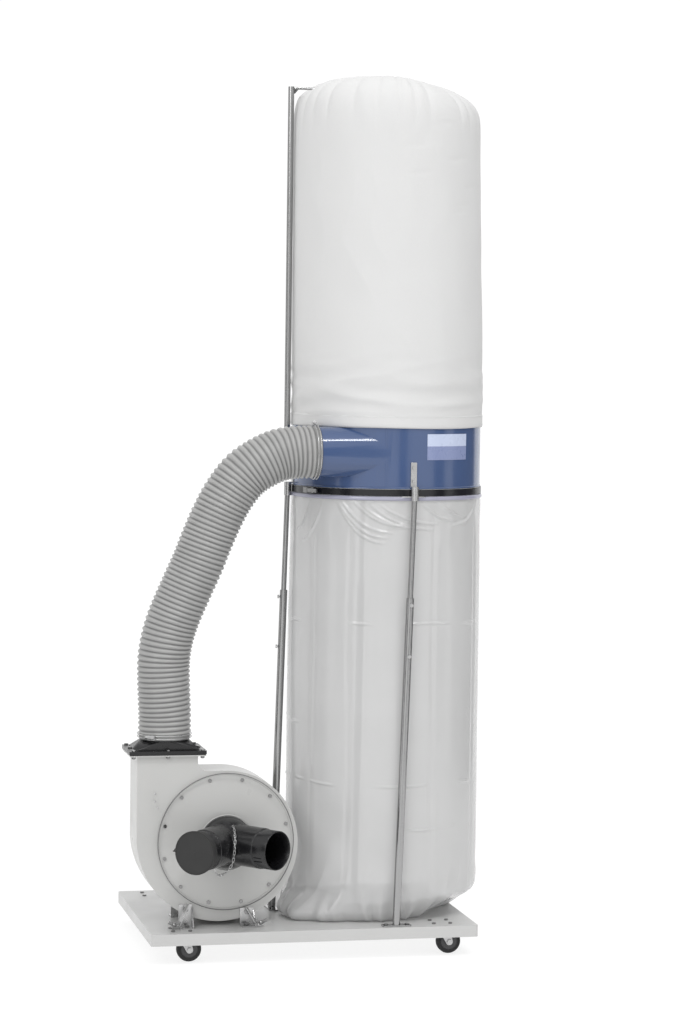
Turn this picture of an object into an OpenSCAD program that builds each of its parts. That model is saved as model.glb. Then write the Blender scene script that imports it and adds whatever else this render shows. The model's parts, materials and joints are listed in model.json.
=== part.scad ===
// Single-bag dust collector on a castered tray: radial fan, flexible hose, bag drum on three
// posts, filter bag above and collection bag below.
// Millimetres, +Z up, the front is -Y. The origin is on the floor under the middle of the machine.

/* [Base tray] */
// Length of the tray, left to right
base_l = 856; // [840:1:880]
// Depth of the tray, front to back
base_w = 600; // [590:1:640]
// Height of the tray's top above the floor
base_top = 81; // [81:1:86]
// Height of the folded skirt
skirt_h = 30; // [26:1:32]
// Sheet thickness of the tray
tray_t = 2; // [2:0.5:3]

/* [Casters] */
// Radius of a caster wheel
wheel_r = 31.75; // [31:0.25:31.75]
// Width of a caster wheel
wheel_w = 22; // [18:1:24]
// Distance from the swivel pin back to the axle
caster_trail = 22; // [20:1:24]
// Side of the square swivel plate
plate_side = 60; // [58:1:64]
// Distance of a swivel pin from the tray's edges, along X and Y
caster_inset = [83, 55];

/* [Fan] */
// Height of the fan axis above the floor
fan_z = 300; // [299:1:302]
// Radius of the scroll where it is tightest
scroll_r0 = 182; // [181:1:184]
// Growth of the scroll's radius over three quarters of a turn
scroll_grow = 48; // [46:1:48]
// Depth of the scroll, front to back
fan_depth = 120; // [118:1:122]
// Radius of the round front cover
cover_r = 176; // [175:1:177]
// Number of screws round the cover
cover_screws_n = 12; // [8:1:16]
// Radius of the impeller
impeller_r = 145; // [130:1:150]
// Number of impeller blades
blade_n = 10; // [6:1:12]

/* [Inlet] */
// Outer radius of each hose port
port_r = 50; // [50:1:51]
// Wall of the moulded inlet
port_wall = 3; // [2.5:0.5:3]
// Angle of each port from straight ahead
port_angle = 38; // [36:1:40]
// Length of each port from the point where they branch
port_len = 171; // [165:1:171]
// Travel of the port cap as it is pulled off
cap_travel = 40; // [30:1:45]

/* [Hose] */
// Outer radius of the hose over its ribs
hose_r = 68.5; // [68:0.5:68.5]
// Radius of the spigots that the hose is pushed over
spigot_r = 62.5; // [62:0.5:62.5]

/* [Drum and bags] */
// Outer radius of the bag drum
drum_r = 250; // [249:0.5:250]
// Lower edge of the drum
drum_z = 1181; // [1175:1:1185]
// Upper edge of the drum, inside the filter bag
drum_top = 1408; // [1400:1:1420]
// Lower edge of the filter bag's hem
hem_z = 1366; // [1360:1:1370]
// Height of the filter bag's crown above the floor
bag_top = 2281; // [2270:1:2285]
// Largest radius of the filter bag
filter_r = 254; // [253:0.5:255]
// Largest radius of the collection bag
collect_r = 257; // [256:0.5:257]
// Wall of the filter felt
felt_t = 2.5; // [2:0.5:3]

/* [Posts and hanger] */
// Radius of the lower post tubes
post_r = 10; // [9:0.5:10]
// Radius of the upper post tubes
rod_r = 7; // [6:0.5:7]
// Height where the lower tubes end
post_split = 930; // [900:1:960]
// Radius of the hanger pole
pole_r = 8; // [7:0.5:8]

/* [Motor] */
// Radius of the motor body over its cooling fins
motor_r = 75; // [74:0.5:75]
// Radius of the motor shaft
shaft_r = 9; // [8:0.5:9]
// Travel of the start and stop buttons
button_travel = 4; // [3:0.5:5]

/* [Hidden] */
$fn = 64;
base_x = -8;
base_y = 51.3;
drum_x = 226;
fan_x = -231.5;
fan_y = -151.2;
eps = 0.01;
steel = [0.72, 0.72, 0.73];
grey_paint = [0.80, 0.80, 0.79];
blue_paint = [0.20, 0.27, 0.44];
black = [0.07, 0.07, 0.08];
drum_c = [drum_x, base_y, 0];
fan_back = fan_y + fan_depth;
fan_c = [fan_x, fan_y, fan_z];
shell_t = 2.5;
neck_l = -(scroll_r0 + scroll_grow);
neck_r = -73;
neck_mid = (neck_l + neck_r) / 2;
neck_top = 225;
outlet_c = [fan_x + neck_mid, fan_y + fan_depth / 2, fan_z + neck_top];
flange_size = [196, 141];
trans_size = [200, 145];
trans_t = 9;
gasket_t = 2;
cover_t = 2.5;
cover_pcd_r = 163;
collar_r = 62.7;
branch = fan_c + [0, -29, 0];
axle_z = wheel_r;
plate_t = 2.5;
plate_z = base_top - tray_t - plate_t;
caster_xy = [for (sy = [-1, 1], sx = [0, 1])
    [base_x - base_l / 2 + (sx == 0 ? caster_inset[0] : base_l - caster_inset[0] - 6),
     base_y + sy * (base_w / 2 - caster_inset[1])]];
caster_bolt = 22;
strap_z = [1191, 1208];
strap_r = [252, 254];
latch_a = 205;
// post feet on the tray and post heads on the drum, in the order front, left, back
post_angle = [-86.5, 180, 90];
post_head_r = 264.5;
post_foot = [[206, -226.2], [-68, base_y], [220, 329]];
post_head = [for (a = post_angle) [drum_x + post_head_r * cos(a), base_y + post_head_r * sin(a)]];
post_foot_turn = [0, 90, 0];
foot_t = 3;
head_z = 1213;
post_z0 = base_top + foot_t;
pole_x = -42;
arm_z = 2246;
arm_r = 3.5;
motor_y0 = fan_back;
motor_len = 168;
body_y = motor_y0 + 12;
rear_y = body_y + motor_len;
box_z = 378;
box_h = 45;
box_y = [motor_y0 + 50, motor_y0 + 145];
button_y = [motor_y0 + 76, motor_y0 + 118];
lid_z = box_z + box_h;
foot_x = [fan_x - 102, fan_x + 58];
foot_top = [139, 126];
foot_bolt_z = [125, 116];
// bolts through the feet and the tray; the front left foot shares a bolt with its caster
shared_bolt = caster_xy[0] + [caster_bolt, caster_bolt];
foot_bolt_xy = [[foot_x[0] - 4, fan_back + 20], [foot_x[1] - 4, fan_y - 20],
    [foot_x[1] - 4, fan_back + 20]];
inlet_y = base_y - 181;
inlet_z = 1301;
// route of the hose's centre line, from the fan outlet to the drum inlet
hose_route = [
    [outlet_c[0], outlet_c[1], 562], [outlet_c[0], outlet_c[1], 592],
    [outlet_c[0], outlet_c[1], 622], [-385, -92, 668], [-387, -93, 716],
    [-387, -94, 764], [-381, -97, 812], [-369, -100, 858], [-351, -104, 906], [-329, -108, 958],
    [-304, -112, 1016], [-281, -116, 1076], [-257, -121, 1134], [-228, -126, 1190],
    [-190, -130, 1240], [-146, -132, 1272], [-102, -130.5, 1292], [-64, inlet_y, 1299.5],
    [-28, inlet_y, inlet_z], [3, inlet_y, inlet_z]];
// route of the cap's chain, from the top of the inlet to the cap's rim
chain_route = [[-226, -226, 355], [-227, -260, 340], [-230, -279, 304], [-236, -283, 266],
    [-250, -287, 242], [-270, -306, 234], [-286, -330, 245], [-293, -343, 262]];

// ---- shared shapes

// tube with its base at z = 0
module tube(r_out, r_in, h) {
    difference() {
        cylinder(r = r_out, h = h);
        translate([0, 0, -1]) cylinder(r = r_in, h = h + 2);
    }
}

// rectangle with round corners, centred
module round_rect(size, r) {
    square([size[0] - 2 * r, size[1]], center = true);
    square([size[0], size[1] - 2 * r], center = true);
    for (sx = [-1, 1], sy = [-1, 1])
        translate([sx * (size[0] / 2 - r), sy * (size[1] / 2 - r)]) circle(r = r);
}

// hexagon bolt with its nut: the head stands on z = 0, and the nut is under the grip
module bolt(d, grip) {
    cylinder(r = d * 0.9, h = d * 0.6, $fn = 6);
    translate([0, 0, -grip - d]) cylinder(r = d / 2, h = grip + d + eps);
    translate([0, 0, -grip - d * 0.8]) cylinder(r = d * 0.9, h = d * 0.8, $fn = 6);
}

// turns the children, drawn along +Z, to lie along -Y
module to_front() {
    rotate([90, 0, 0]) children();
}

// ---- base tray and casters

module at_casters() {
    for (p = caster_xy) translate([p[0], p[1], 0]) children();
}

module at_caster_bolts() {
    for (sx = [-1, 1], sy = [-1, 1]) translate([sx * caster_bolt, sy * caster_bolt, 0]) children();
}

module base_tray() {
    color(grey_paint) difference() {
        translate([base_x, base_y, base_top - skirt_h])
            linear_extrude(skirt_h) round_rect([base_l, base_w], 8);
        translate([base_x, base_y, base_top - skirt_h - 1])
            linear_extrude(skirt_h + 1 - tray_t)
                round_rect([base_l - 2 * tray_t, base_w - 2 * tray_t], 6);
        at_casters() at_caster_bolts() translate([0, 0, base_top - 10]) cylinder(r = 3.2, h = 20);
        at_foot_bolts() translate([0, 0, -20]) cylinder(r = 4.2, h = 40);
        at_post_foot_bolts() translate([0, 0, -20]) cylinder(r = 3.2, h = 40);
    }
}

module caster_plates() {
    color(steel) at_casters() {
        difference() {
            translate([-plate_side / 2, -plate_side / 2, plate_z]) cube([plate_side, plate_side, plate_t]);
            at_caster_bolts() translate([0, 0, plate_z - 1]) cylinder(r = 3.2, h = plate_t + 2);
        }
        translate([0, 0, plate_z - 4.2]) cylinder(r = 18, h = 4.2);
        translate([0, 0, plate_z - 14]) cylinder(r = 5, h = 14);
        translate([0, 0, plate_z - 15.5]) cylinder(r = 7, h = 3.7);
    }
}

module caster_bolts() {
    color(steel) for (p = caster_xy, sx = [-1, 1], sy = [-1, 1])
        let (q = p + caster_bolt * [sx, sy], lift = q == shared_bolt ? 3 : 0)
            translate([q[0], q[1], base_top + lift]) bolt(6, tray_t + plate_t + lift);
}

module caster_fork(i) {
    leg_y = wheel_w / 2 + 3;
    leg_t = 2.5;
    top_z = plate_z - 4.5;
    color(steel) translate([caster_xy[i][0], caster_xy[i][1], 0]) difference() {
        union() {
            translate([0, 0, top_z - 7]) cylinder(r = 22, h = 7);
            translate([-12, -leg_y - leg_t, top_z - 3]) cube([34, 2 * (leg_y + leg_t), 3]);
            for (s = [-1, 1]) translate([0, s * (leg_y + leg_t / 2), 0]) rotate([90, 0, 0])
                translate([0, 0, -leg_t / 2]) linear_extrude(leg_t) {
                    polygon([[-12, top_z], [22, top_z], [caster_trail + 9, axle_z],
                             [caster_trail - 8.5, axle_z - 3]]);
                    translate([caster_trail, axle_z]) circle(r = 9);
                }
        }
        translate([0, 0, top_z - 10]) cylinder(r = 5.06, h = 20);
        translate([caster_trail, 0, axle_z]) rotate([90, 0, 0])
            cylinder(r = 4.03, h = 60, center = true);
        translate([0, 0, top_z - 20]) cylinder(r = 11, h = 16.5);
    }
}

module caster_axle(i) {
    half = wheel_w / 2 + 5.5;
    color(steel) translate([caster_xy[i][0] + caster_trail, caster_xy[i][1], axle_z])
        rotate([90, 0, 0]) {
            cylinder(r = 4, h = 2 * half + 8, center = true);
            for (s = [-1, 1]) translate([0, 0, s * (half + 2.5)])
                cylinder(r = 7, h = 5, center = true, $fn = 6);
        }
}

module caster_wheel(i) {
    w = wheel_w / 2;
    color(black) translate([caster_xy[i][0] + caster_trail, caster_xy[i][1], axle_z])
        rotate([90, 0, 0]) difference() {
            rotate_extrude($fn = 96) polygon([
                [0, -w], [11, -w], [12, -w + 2], [20, -w + 2], [22, -w + 0.5], [27, -w + 0.5],
                [30, -w + 2], [wheel_r, -w + 5.5], [wheel_r, w - 5.5], [30, w - 2],
                [27, w - 0.5], [22, w - 0.5], [20, w - 2], [12, w - 2], [11, w], [0, w]]);
            cylinder(r = 4.06, h = 60, center = true);
        }
}

// ---- fan

// radius of the scroll at an angle clockwise from the top, seen from the front
function scroll_r(a) = scroll_r0 + scroll_grow * pow(max(a, 0) / 270, 1.6);

// outline of the scroll and its neck, drawn in by the inset; a fillet joins the neck to the scroll
function scroll_points(inset, top) =
    let (steps = 60, fillet = 24, corner = [neck_r + fillet, scroll_r0 + fillet], bend = fillet + inset)
    concat(
        [for (k = [0 : steps]) let (a = 270 * k / steps, r = scroll_r(a) - inset)
            [r * sin(a), r * cos(a)]],
        [[neck_l + inset, top], [neck_r - inset, top]],
        [for (a = [0 : 15 : 90]) corner - bend * [cos(a), sin(a)]]);

module at_cover_screws() {
    for (k = [0 : cover_screws_n - 1])
        translate([fan_x, 0, fan_z]) rotate([0, 15 + 360 * k / cover_screws_n, 0])
            translate([0, 0, cover_pcd_r]) children();
}

module at_outlet_bolts() {
    for (sx = [-1, 0, 1], sy = [-1, 1])
        translate([outlet_c[0] + sx * 89, outlet_c[1] + sy * 66, outlet_c[2]]) children();
    for (sx = [-1, 1]) translate([outlet_c[0] + sx * 89, outlet_c[1], outlet_c[2]]) children();
}

module fan_housing() {
    color(grey_paint) difference() {
        union() {
            translate([fan_x, fan_back, fan_z]) to_front()
                linear_extrude(fan_depth) polygon(scroll_points(0, neck_top));
            translate(outlet_c - [flange_size[0] / 2, flange_size[1] / 2, 3])
                cube([flange_size[0], flange_size[1], 3]);
        }
        translate([fan_x, fan_back - shell_t, fan_z]) to_front()
            linear_extrude(fan_depth - 2 * shell_t) polygon(scroll_points(shell_t, neck_top + 5));
        translate([fan_x, fan_y + 2 * shell_t, fan_z]) to_front() cylinder(r = 155, h = 20, $fn = 128);
        translate([fan_x, fan_back + 5, fan_z]) to_front() cylinder(r = 30, h = 20);
        at_cover_screws() translate([0, fan_y + 5, 0]) to_front() cylinder(r = 2.6, h = 20, $fn = 24);
        at_outlet_bolts() translate([0, 0, -10]) cylinder(r = 3.2, h = 20);
        for (i = [0, 1], y = [fan_y + 5, fan_back + 5])
            translate([foot_x[i], y, foot_bolt_z[i]]) to_front() cylinder(r = 4.2, h = 10);
    }
}

module fan_cover() {
    color(grey_paint) difference() {
        translate([fan_x, fan_y, fan_z]) to_front() rotate_extrude($fn = 128) polygon([
            [57, 0], [cover_r, 0], [cover_r, 3.5], [cover_r - 3, 3.5], [cover_r - 4, cover_t],
            [59.5, cover_t], [59.5, 24], [57, 24]]);
        at_cover_screws() translate([0, fan_y + 5, 0]) to_front() cylinder(r = 2.6, h = 20, $fn = 24);
    }
}

module cover_screws() {
    color(steel) at_cover_screws() translate([0, fan_y + 4.5, 0]) to_front() {
        cylinder(r = 2.5, h = 4.5 + cover_t + eps, $fn = 24);
        translate([0, 0, 4.5 + cover_t]) cylinder(r = 4.6, h = 3, $fn = 24);
    }
}

// angle bracket that stands on the tray and is bolted to the scroll's face; hole is x, y and radius
module foot_bracket(i, hole = [-4, -20, 4.2]) {
    w = 36;
    reach = 36;
    difference() {
        union() {
            translate([-w / 2, -3, base_top]) cube([w, 3, foot_top[i] - base_top]);
            translate([-w / 2, -reach, base_top]) cube([w, reach, 3]);
            translate([w / 2 - 3, 0, base_top]) rotate([90, 0, 90]) linear_extrude(3)
                polygon([[-reach + 2, 1], [-1, 1], [-1, foot_top[i] - base_top - 6],
                         [-4, foot_top[i] - base_top - 6]]);
        }
        translate([0, 5, foot_bolt_z[i]]) to_front() cylinder(r = 4.2, h = 20);
        translate([hole[0], hole[1], base_top - 5]) cylinder(r = hole[2], h = 20);
    }
}

module fan_foot(i) {
    color(grey_paint) {
        translate([foot_x[i], fan_y, 0]) if (i == 0)
            foot_bracket(i, [shared_bolt[0] - foot_x[0], shared_bolt[1] - fan_y, 3.2]);
        else foot_bracket(i);
        translate([foot_x[i], fan_back, 0]) mirror([0, 1, 0]) foot_bracket(i);
    }
}

module at_foot_bolts() {
    for (p = foot_bolt_xy) translate([p[0], p[1], base_top]) children();
}

module at_post_foot_bolts() {
    for (i = [0 : 2], s = [-1, 1]) translate([post_foot[i][0], post_foot[i][1], base_top])
        rotate([0, 0, post_foot_turn[i]]) translate([s * 28, 0, 0]) children();
}

module foot_bolts() {
    color(steel) {
        at_foot_bolts() translate([0, 0, 3]) bolt(8, tray_t + 3);
        at_post_foot_bolts() translate([0, 0, foot_t]) bolt(6, tray_t + foot_t);
        for (i = [0, 1]) {
            translate([foot_x[i], fan_y - 3, foot_bolt_z[i]]) to_front() bolt(8, 3 + shell_t);
            translate([foot_x[i], fan_back + 3, foot_bolt_z[i]]) rotate([-90, 0, 0])
                bolt(8, 3 + shell_t);
        }
    }
}

module impeller() {
    disc_y = fan_back - 22;
    color([0.45, 0.47, 0.5]) translate([fan_x, disc_y, fan_z]) to_front() difference() {
        union() {
            cylinder(r = impeller_r, h = 3, $fn = 96);
            cylinder(r = 22, h = 40);
            for (k = [0 : blade_n - 1]) rotate([0, 0, 360 * k / blade_n])
                translate([40, 0, 2]) rotate([0, 0, 18]) cube([100, 2.5, 68]);
        }
        translate([0, 0, -1]) cylinder(r = shaft_r + 0.01, h = 60);
    }
}

// ---- motor

module motor_shaft() {
    color(steel) translate([fan_x, rear_y + 28, fan_z]) to_front()
        cylinder(r = shaft_r, h = rear_y + 28 - fan_back + 66);
}

module motor_rotor() {
    color([0.5, 0.45, 0.4]) translate([fan_x, body_y + 145, fan_z]) to_front()
        tube(45.4, shaft_r + 0.01, 122);
}

module motor_stator() {
    color([0.6, 0.4, 0.25]) translate([fan_x, body_y + 150, fan_z]) to_front() tube(62, 46, 132);
}

module motor_bearings() {
    color(steel) for (y = [body_y - 1, rear_y + 9])
        translate([fan_x, y, fan_z]) to_front() tube(20, shaft_r + 0.06, 9);
}

module motor_body() {
    color(grey_paint) translate([fan_x, rear_y, fan_z]) to_front() {
        tube(70, 62.1, motor_len);
        for (k = [0 : 27]) rotate([0, 0, 360 * (k + 0.5) / 28])
            translate([69, -1.2, 6]) cube([motor_r - 69, 2.4, motor_len - 12]);
    }
}

// end shield with a seat for its bearing
module shield(r, t) {
    difference() {
        cylinder(r = r, h = t);
        translate([0, 0, 1.5]) cylinder(r = 20.02, h = t);
        translate([0, 0, -1]) cylinder(r = 14, h = t);
    }
}

module motor_front_shield() {
    color(grey_paint) translate([fan_x, fan_back, fan_z]) rotate([-90, 0, 0]) shield(82, 12);
}

module motor_rear_shield() {
    color(grey_paint) translate([fan_x, rear_y + 10.5, fan_z]) to_front() shield(70, 10.5);
}

module motor_fan() {
    color(black) translate([fan_x, rear_y + 30, fan_z]) to_front() difference() {
        union() {
            translate([0, 0, 12]) cylinder(r = 56, h = 3);
            cylinder(r = 14, h = 15);
            for (k = [0 : 6]) rotate([0, 0, 360 * k / 7]) translate([12, -1, 1]) cube([42, 2, 13]);
        }
        translate([0, 0, -1]) cylinder(r = shaft_r + 0.01, h = 40);
    }
}

module motor_cowl() {
    depth = 46;
    color(black) translate([fan_x, rear_y + 2, fan_z]) rotate([-90, 0, 0]) difference() {
        cylinder(r = 72, h = depth);
        translate([0, 0, -1]) cylinder(r = 70.4, h = depth - 0.6);
        for (k = [0 : 11], r = [24, 44]) rotate([0, 0, 30 * k + (r == 24 ? 15 : 0)])
            translate([r, -2.2, depth - 5]) cube([16, 4.4, 10]);
    }
}

module motor_stand() {
    color(grey_paint) difference() {
        union() {
            translate([fan_x - 62, motor_y0 + 38, base_top]) cube([124, 96, 4]);
            for (y = [motor_y0 + 44, motor_y0 + 124])
                translate([fan_x, y, base_top]) rotate([90, 0, 0]) linear_extrude(4, center = true)
                    polygon([[-54, 1], [54, 1], [46, fan_z - base_top - 50],
                             [-46, fan_z - base_top - 50]]);
        }
        translate([fan_x, motor_y0, fan_z]) rotate([-90, 0, 0]) cylinder(r = motor_r + 0.2, h = 200);
    }
}

module switch_box() {
    w = 70;
    len = box_y[1] - box_y[0];
    color([0.75, 0.75, 0.74]) difference() {
        translate([fan_x - w / 2, box_y[0], fan_z + 60]) cube([w, len, lid_z - fan_z - 60]);
        translate([fan_x - w / 2 + 3, box_y[0] + 3, box_z + 3]) cube([w - 6, len - 6, 60]);
        translate([fan_x, box_y[0] - 10, fan_z]) rotate([-90, 0, 0])
            cylinder(r = motor_r + 0.2, h = len + 20);
        translate([fan_x, box_y[1] + 5, box_z + 22]) to_front() cylinder(r = 8.1, h = 12);
    }
}

module switch_lid() {
    len = box_y[1] - box_y[0];
    color([0.75, 0.75, 0.74]) difference() {
        translate([fan_x, (box_y[0] + box_y[1]) / 2, lid_z])
            linear_extrude(4) round_rect([74, len + 4], 5);
        for (y = button_y) translate([fan_x, y, lid_z - 1]) cylinder(r = 8.4, h = 10);
    }
}

// push button with a shoulder under the lid; it sinks by button_travel
module push_button(y, head_r, head_z) {
    translate([fan_x, y, lid_z - 3.4]) {
        cylinder(r = 10, h = 3);
        cylinder(r = 8, h = head_z + 3);
        translate([0, 0, head_z]) cylinder(r = head_r, h = 6);
    }
}

module start_button() {
    color([0.1, 0.5, 0.2]) push_button(button_y[0], 8, 7.5);
}

module stop_button() {
    color([0.75, 0.08, 0.08]) push_button(button_y[1], 13, 12.6);
}

module cable_gland() {
    color(black) translate([fan_x, box_y[1] - 5, box_z + 22]) rotate([-90, 0, 0]) difference() {
        union() {
            cylinder(r = 8, h = 12);
            translate([0, 0, 5]) cylinder(r = 12, h = 7, $fn = 6);
            translate([0, 0, 12 - eps]) cylinder(r1 = 10.5, r2 = 7.5, h = 12);
        }
        translate([0, 0, -1]) cylinder(r = 4.5, h = 40);
    }
}

// ---- inlet

// turns +Z to lie along a port: side -1 is the left port, 1 the right
module along_port(side) {
    translate(branch) rotate([0, 0, side * port_angle]) to_front() children();
}

module inlet_y_piece() {
    inner = port_r - port_wall;
    sleeve = port_len - 42;
    color(black) difference() {
        union() {
            translate([fan_x, fan_y + 3, fan_z]) to_front() cylinder(r = collar_r, h = 36);
            translate(branch) sphere(r = collar_r + 1.3, $fn = 96);
            for (s = [-1, 1]) along_port(s) rotate_extrude() polygon([[0, 0], [port_r + 2, 0],
                [port_r + 2, sleeve], [port_r, sleeve], [port_r, port_len], [0, port_len]]);
        }
        translate([fan_x, fan_y + 5, fan_z]) to_front() cylinder(r = collar_r - 3, h = 32);
        for (s = [-1, 1]) along_port(s) cylinder(r = inner - 0.5, h = port_len);
        for (s = [-1, 1]) along_port(s) translate([0, 0, sleeve]) cylinder(r = inner, h = 50);
        translate([fan_x - 80, fan_y - cover_t, fan_z - 80]) cube([160, 60, 160]);
    }
}

module port_cap() {
    color([0.2, 0.2, 0.2]) along_port(-1) {
        difference() {
            union() {
                translate([0, 0, port_len - 18]) cylinder(r = 53, h = 19);
                translate([0, 0, port_len + 0.4]) cylinder(r = 55.5, h = 4);
            }
            translate([0, 0, port_len - 19]) cylinder(r = port_r + 0.06, h = 19.4);
        }
        translate([-57.8, 0, port_len + 2.4]) rotate([0, 90, 90]) rotate_extrude($fn = 24)
            translate([3.6, 0]) circle(r = 1.3, $fn = 16);
    }
}

// point at fraction t of an open polyline of equal-weight spans, smoothed
function catmull(p0, p1, p2, p3, t) = 0.5 * (2 * p1 + (p2 - p0) * t
    + (2 * p0 - 5 * p1 + 4 * p2 - p3) * t * t + (3 * p1 - p0 - 3 * p2 + p3) * t * t * t);
function route_point(r, u) = let (n = len(r) - 1, k = max(0, min(floor(u), n - 1)), t = u - k)
    catmull(r[max(k - 1, 0)], r[k], r[k + 1], r[min(k + 2, n)], t);

module cap_chain() {
    links = 26;
    color(steel) for (k = [0 : links - 1]) {
        u = (len(chain_route) - 1) * (k + 0.5) / links;
        p = route_point(chain_route, u);
        d = route_point(chain_route, u + 0.15) - route_point(chain_route, u - 0.15);
        translate(p) rotate([0, acos(d[2] / norm(d)), atan2(d[1], d[0])])
            rotate([0, 0, 90 * (k % 2)]) rotate([90, 0, 0])
                rotate_extrude($fn = 20) translate([3.1, 0]) circle(r = 0.8, $fn = 16);
    }
}

// ---- outlet and hose

module outlet_gasket() {
    color(black) difference() {
        translate(outlet_c) linear_extrude(gasket_t) round_rect(flange_size, 4);
        translate(outlet_c - [75, 57, 1]) cube([150, 114, 10]);
        at_outlet_bolts() translate([0, 0, -1]) cylinder(r = 3.4, h = 20);
    }
}

// square base under a round neck, drawn in by the inset
module transition_body(inset) {
    z0 = gasket_t + trans_t;
    translate([outlet_c[0], outlet_c[1], outlet_c[2] + z0 - eps]) hull() {
        linear_extrude(1) square([166 - 2 * inset, 118 - 2 * inset], center = true);
        translate([0, 0, 22]) cylinder(r = spigot_r + 1 - inset, h = 1, $fn = 48);
    }
}

module outlet_transition() {
    plate_z0 = outlet_c[2] + gasket_t;
    color(black) difference() {
        union() {
            translate([outlet_c[0], outlet_c[1], plate_z0])
                linear_extrude(trans_t) round_rect(trans_size, 6);
            transition_body(0);
            translate([outlet_c[0], outlet_c[1], plate_z0 + 20]) cylinder(r = spigot_r, h = 70);
        }
        transition_body(3);
        translate(outlet_c - [75, 55, 1]) cube([150, 110, 14]);
        translate([outlet_c[0], outlet_c[1], plate_z0 + 20]) cylinder(r = spigot_r - 3, h = 80);
        at_outlet_bolts() translate([0, 0, -1]) cylinder(r = 3.2, h = 20);
    }
}

module outlet_bolts() {
    color(steel) at_outlet_bolts() translate([0, 0, gasket_t + trans_t])
        bolt(6, gasket_t + trans_t + 3);
}

function unit(v) = v / norm(v);

// ring of points round the hose's centre line
function hose_ring(p, d, r, sides) =
    let (side = unit(cross(d, [0, 1, 0])), up = cross(side, d))
    [for (k = [0 : sides - 1]) let (a = 360 * (k + 0.5) / sides) p + r * (cos(a) * side + sin(a) * up)];

module hose() {
    sides = 32;
    n = len(hose_route) - 1;
    rings = 2 * n;
    frames = [for (k = [0 : rings]) let (u = k / 2)
        [route_point(hose_route, u),
         k == 0 ? [0, 0, 1] : k == rings ? [1, 0, 0]
             : unit(route_point(hose_route, min(u + 0.1, n)) - route_point(hose_route, max(u - 0.1, 0)))]];
    inner = hose_r - 5;
    pts = concat([for (f = frames) each hose_ring(f[0], f[1], hose_r, sides)],
                 [for (f = frames) each hose_ring(f[0], f[1], inner, sides)]);
    shift = (rings + 1) * sides;
    walls = [for (k = [0 : rings - 1], j = [0 : sides - 1]) let (a = k * sides + j,
        b = k * sides + (j + 1) % sides) [a, b, b + sides, a + sides]];
    bores = [for (w = walls) [w[3] + shift, w[2] + shift, w[1] + shift, w[0] + shift]];
    last = rings * sides;
    ends = [for (j = [0 : sides - 1]) let (m = (j + 1) % sides) each [
        [m, j, j + shift, m + shift],
        [last + j, last + m, last + m + shift, last + j + shift]]];
    color([0.6, 0.6, 0.6]) polyhedron(points = pts, faces = concat(walls, bores, ends), convexity = 8);
}

// worm-drive band clamp standing on z = 0
module band_clamp() {
    tube(hose_r + 1.6, hose_r + 0.3, 12);
    translate([hose_r + 1.4, -11, 0.5]) cube([9, 22, 11]);
    translate([hose_r + 6, -19, 6]) rotate([-90, 0, 0]) cylinder(r = 3.2, h = 8 + eps, $fn = 24);
}

module hose_clamps() {
    color(steel) {
        translate([outlet_c[0], outlet_c[1], 564]) rotate([0, 0, -125]) band_clamp();
        translate([1.5, inlet_y, inlet_z]) rotate([0, -90, 0]) rotate([0, 0, 15]) band_clamp();
    }
}

// ---- drum, strap and latch

module at_bracket_holes() {
    for (a = post_angle, z = [1229, 1264])
        translate([drum_x, base_y, z]) rotate([0, 0, a]) rotate([0, 90, 0]) children();
    for (z = [1310, 1340]) translate([drum_x, base_y, z]) rotate([0, 0, 180]) rotate([0, 90, 0])
        children();
}

module bag_drum() {
    wall = 2;
    tube_r = 65;
    reach = drum_x - 4;
    color(blue_paint) difference() {
        union() {
            translate([drum_x, base_y, drum_z]) tube(drum_r, drum_r - wall, drum_top - drum_z, $fn = 128);
            // tangential inlet tube with a spigot for the hose, cut off inside the drum's wall
            difference() {
                union() {
                    translate([4, inlet_y, inlet_z]) rotate([0, 90, 0]) cylinder(r = tube_r, h = reach);
                    translate([-26, inlet_y, inlet_z]) rotate([0, 90, 0])
                        cylinder(r = spigot_r, h = 40);
                }
                translate([drum_x, base_y, drum_z - 1])
                    cylinder(r = drum_r - wall / 2, h = 400, $fn = 128);
            }
        }
        translate([-30, inlet_y, inlet_z]) rotate([0, 90, 0])
            cylinder(r = spigot_r - 2, h = reach + 20);
        at_bracket_holes() translate([0, 0, drum_r - 8]) cylinder(r = 3.2, h = 16, $fn = 24);
    }
}

module deflector_cone() {
    color(steel) translate(drum_c) {
        rotate_extrude($fn = 96) polygon([[178, 1396], [180, 1396], [122, 1215], [120, 1215]]);
        for (k = [0 : 2]) rotate([0, 0, 120 * k + 30])
            translate([178, -10, 1392]) cube([drum_r - 2.2 - 178, 20, 2]);
    }
}

module rating_plate() {
    r = drum_r + 0.05;
    color([0.8, 0.82, 0.88]) translate([drum_x, base_y, 1284]) intersection() {
        tube(r + 0.8, r, 67);
        rotate([0, 0, -78]) linear_extrude(67)
            polygon([[0, 0], [400, 0], [400 * cos(31), 400 * sin(31)]]);
    }
}

module clamp_strap() {
    color(black) translate([drum_x, base_y, strap_z[0]]) difference() {
        tube(strap_r[1], strap_r[0], strap_z[1] - strap_z[0]);
        rotate([0, 0, latch_a]) translate([240, -3, -1]) cube([20, 6, 30]);
    }
}

module at_latch() {
    translate([drum_x, base_y, (strap_z[0] + strap_z[1]) / 2]) rotate([0, 0, latch_a])
        translate([strap_r[1] + 0.4, 0, 0]) children();
}

module latch_base() {
    color(steel) at_latch() {
        translate([0, -22, -7]) cube([1.6, 44, 14]);
        for (z = [-7, 5.4]) translate([0, -6, z]) difference() {
            cube([9, 12, 1.6]);
            translate([5.5, 6, -1]) cylinder(r = 1.56, h = 4, $fn = 24);
        }
    }
}

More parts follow.
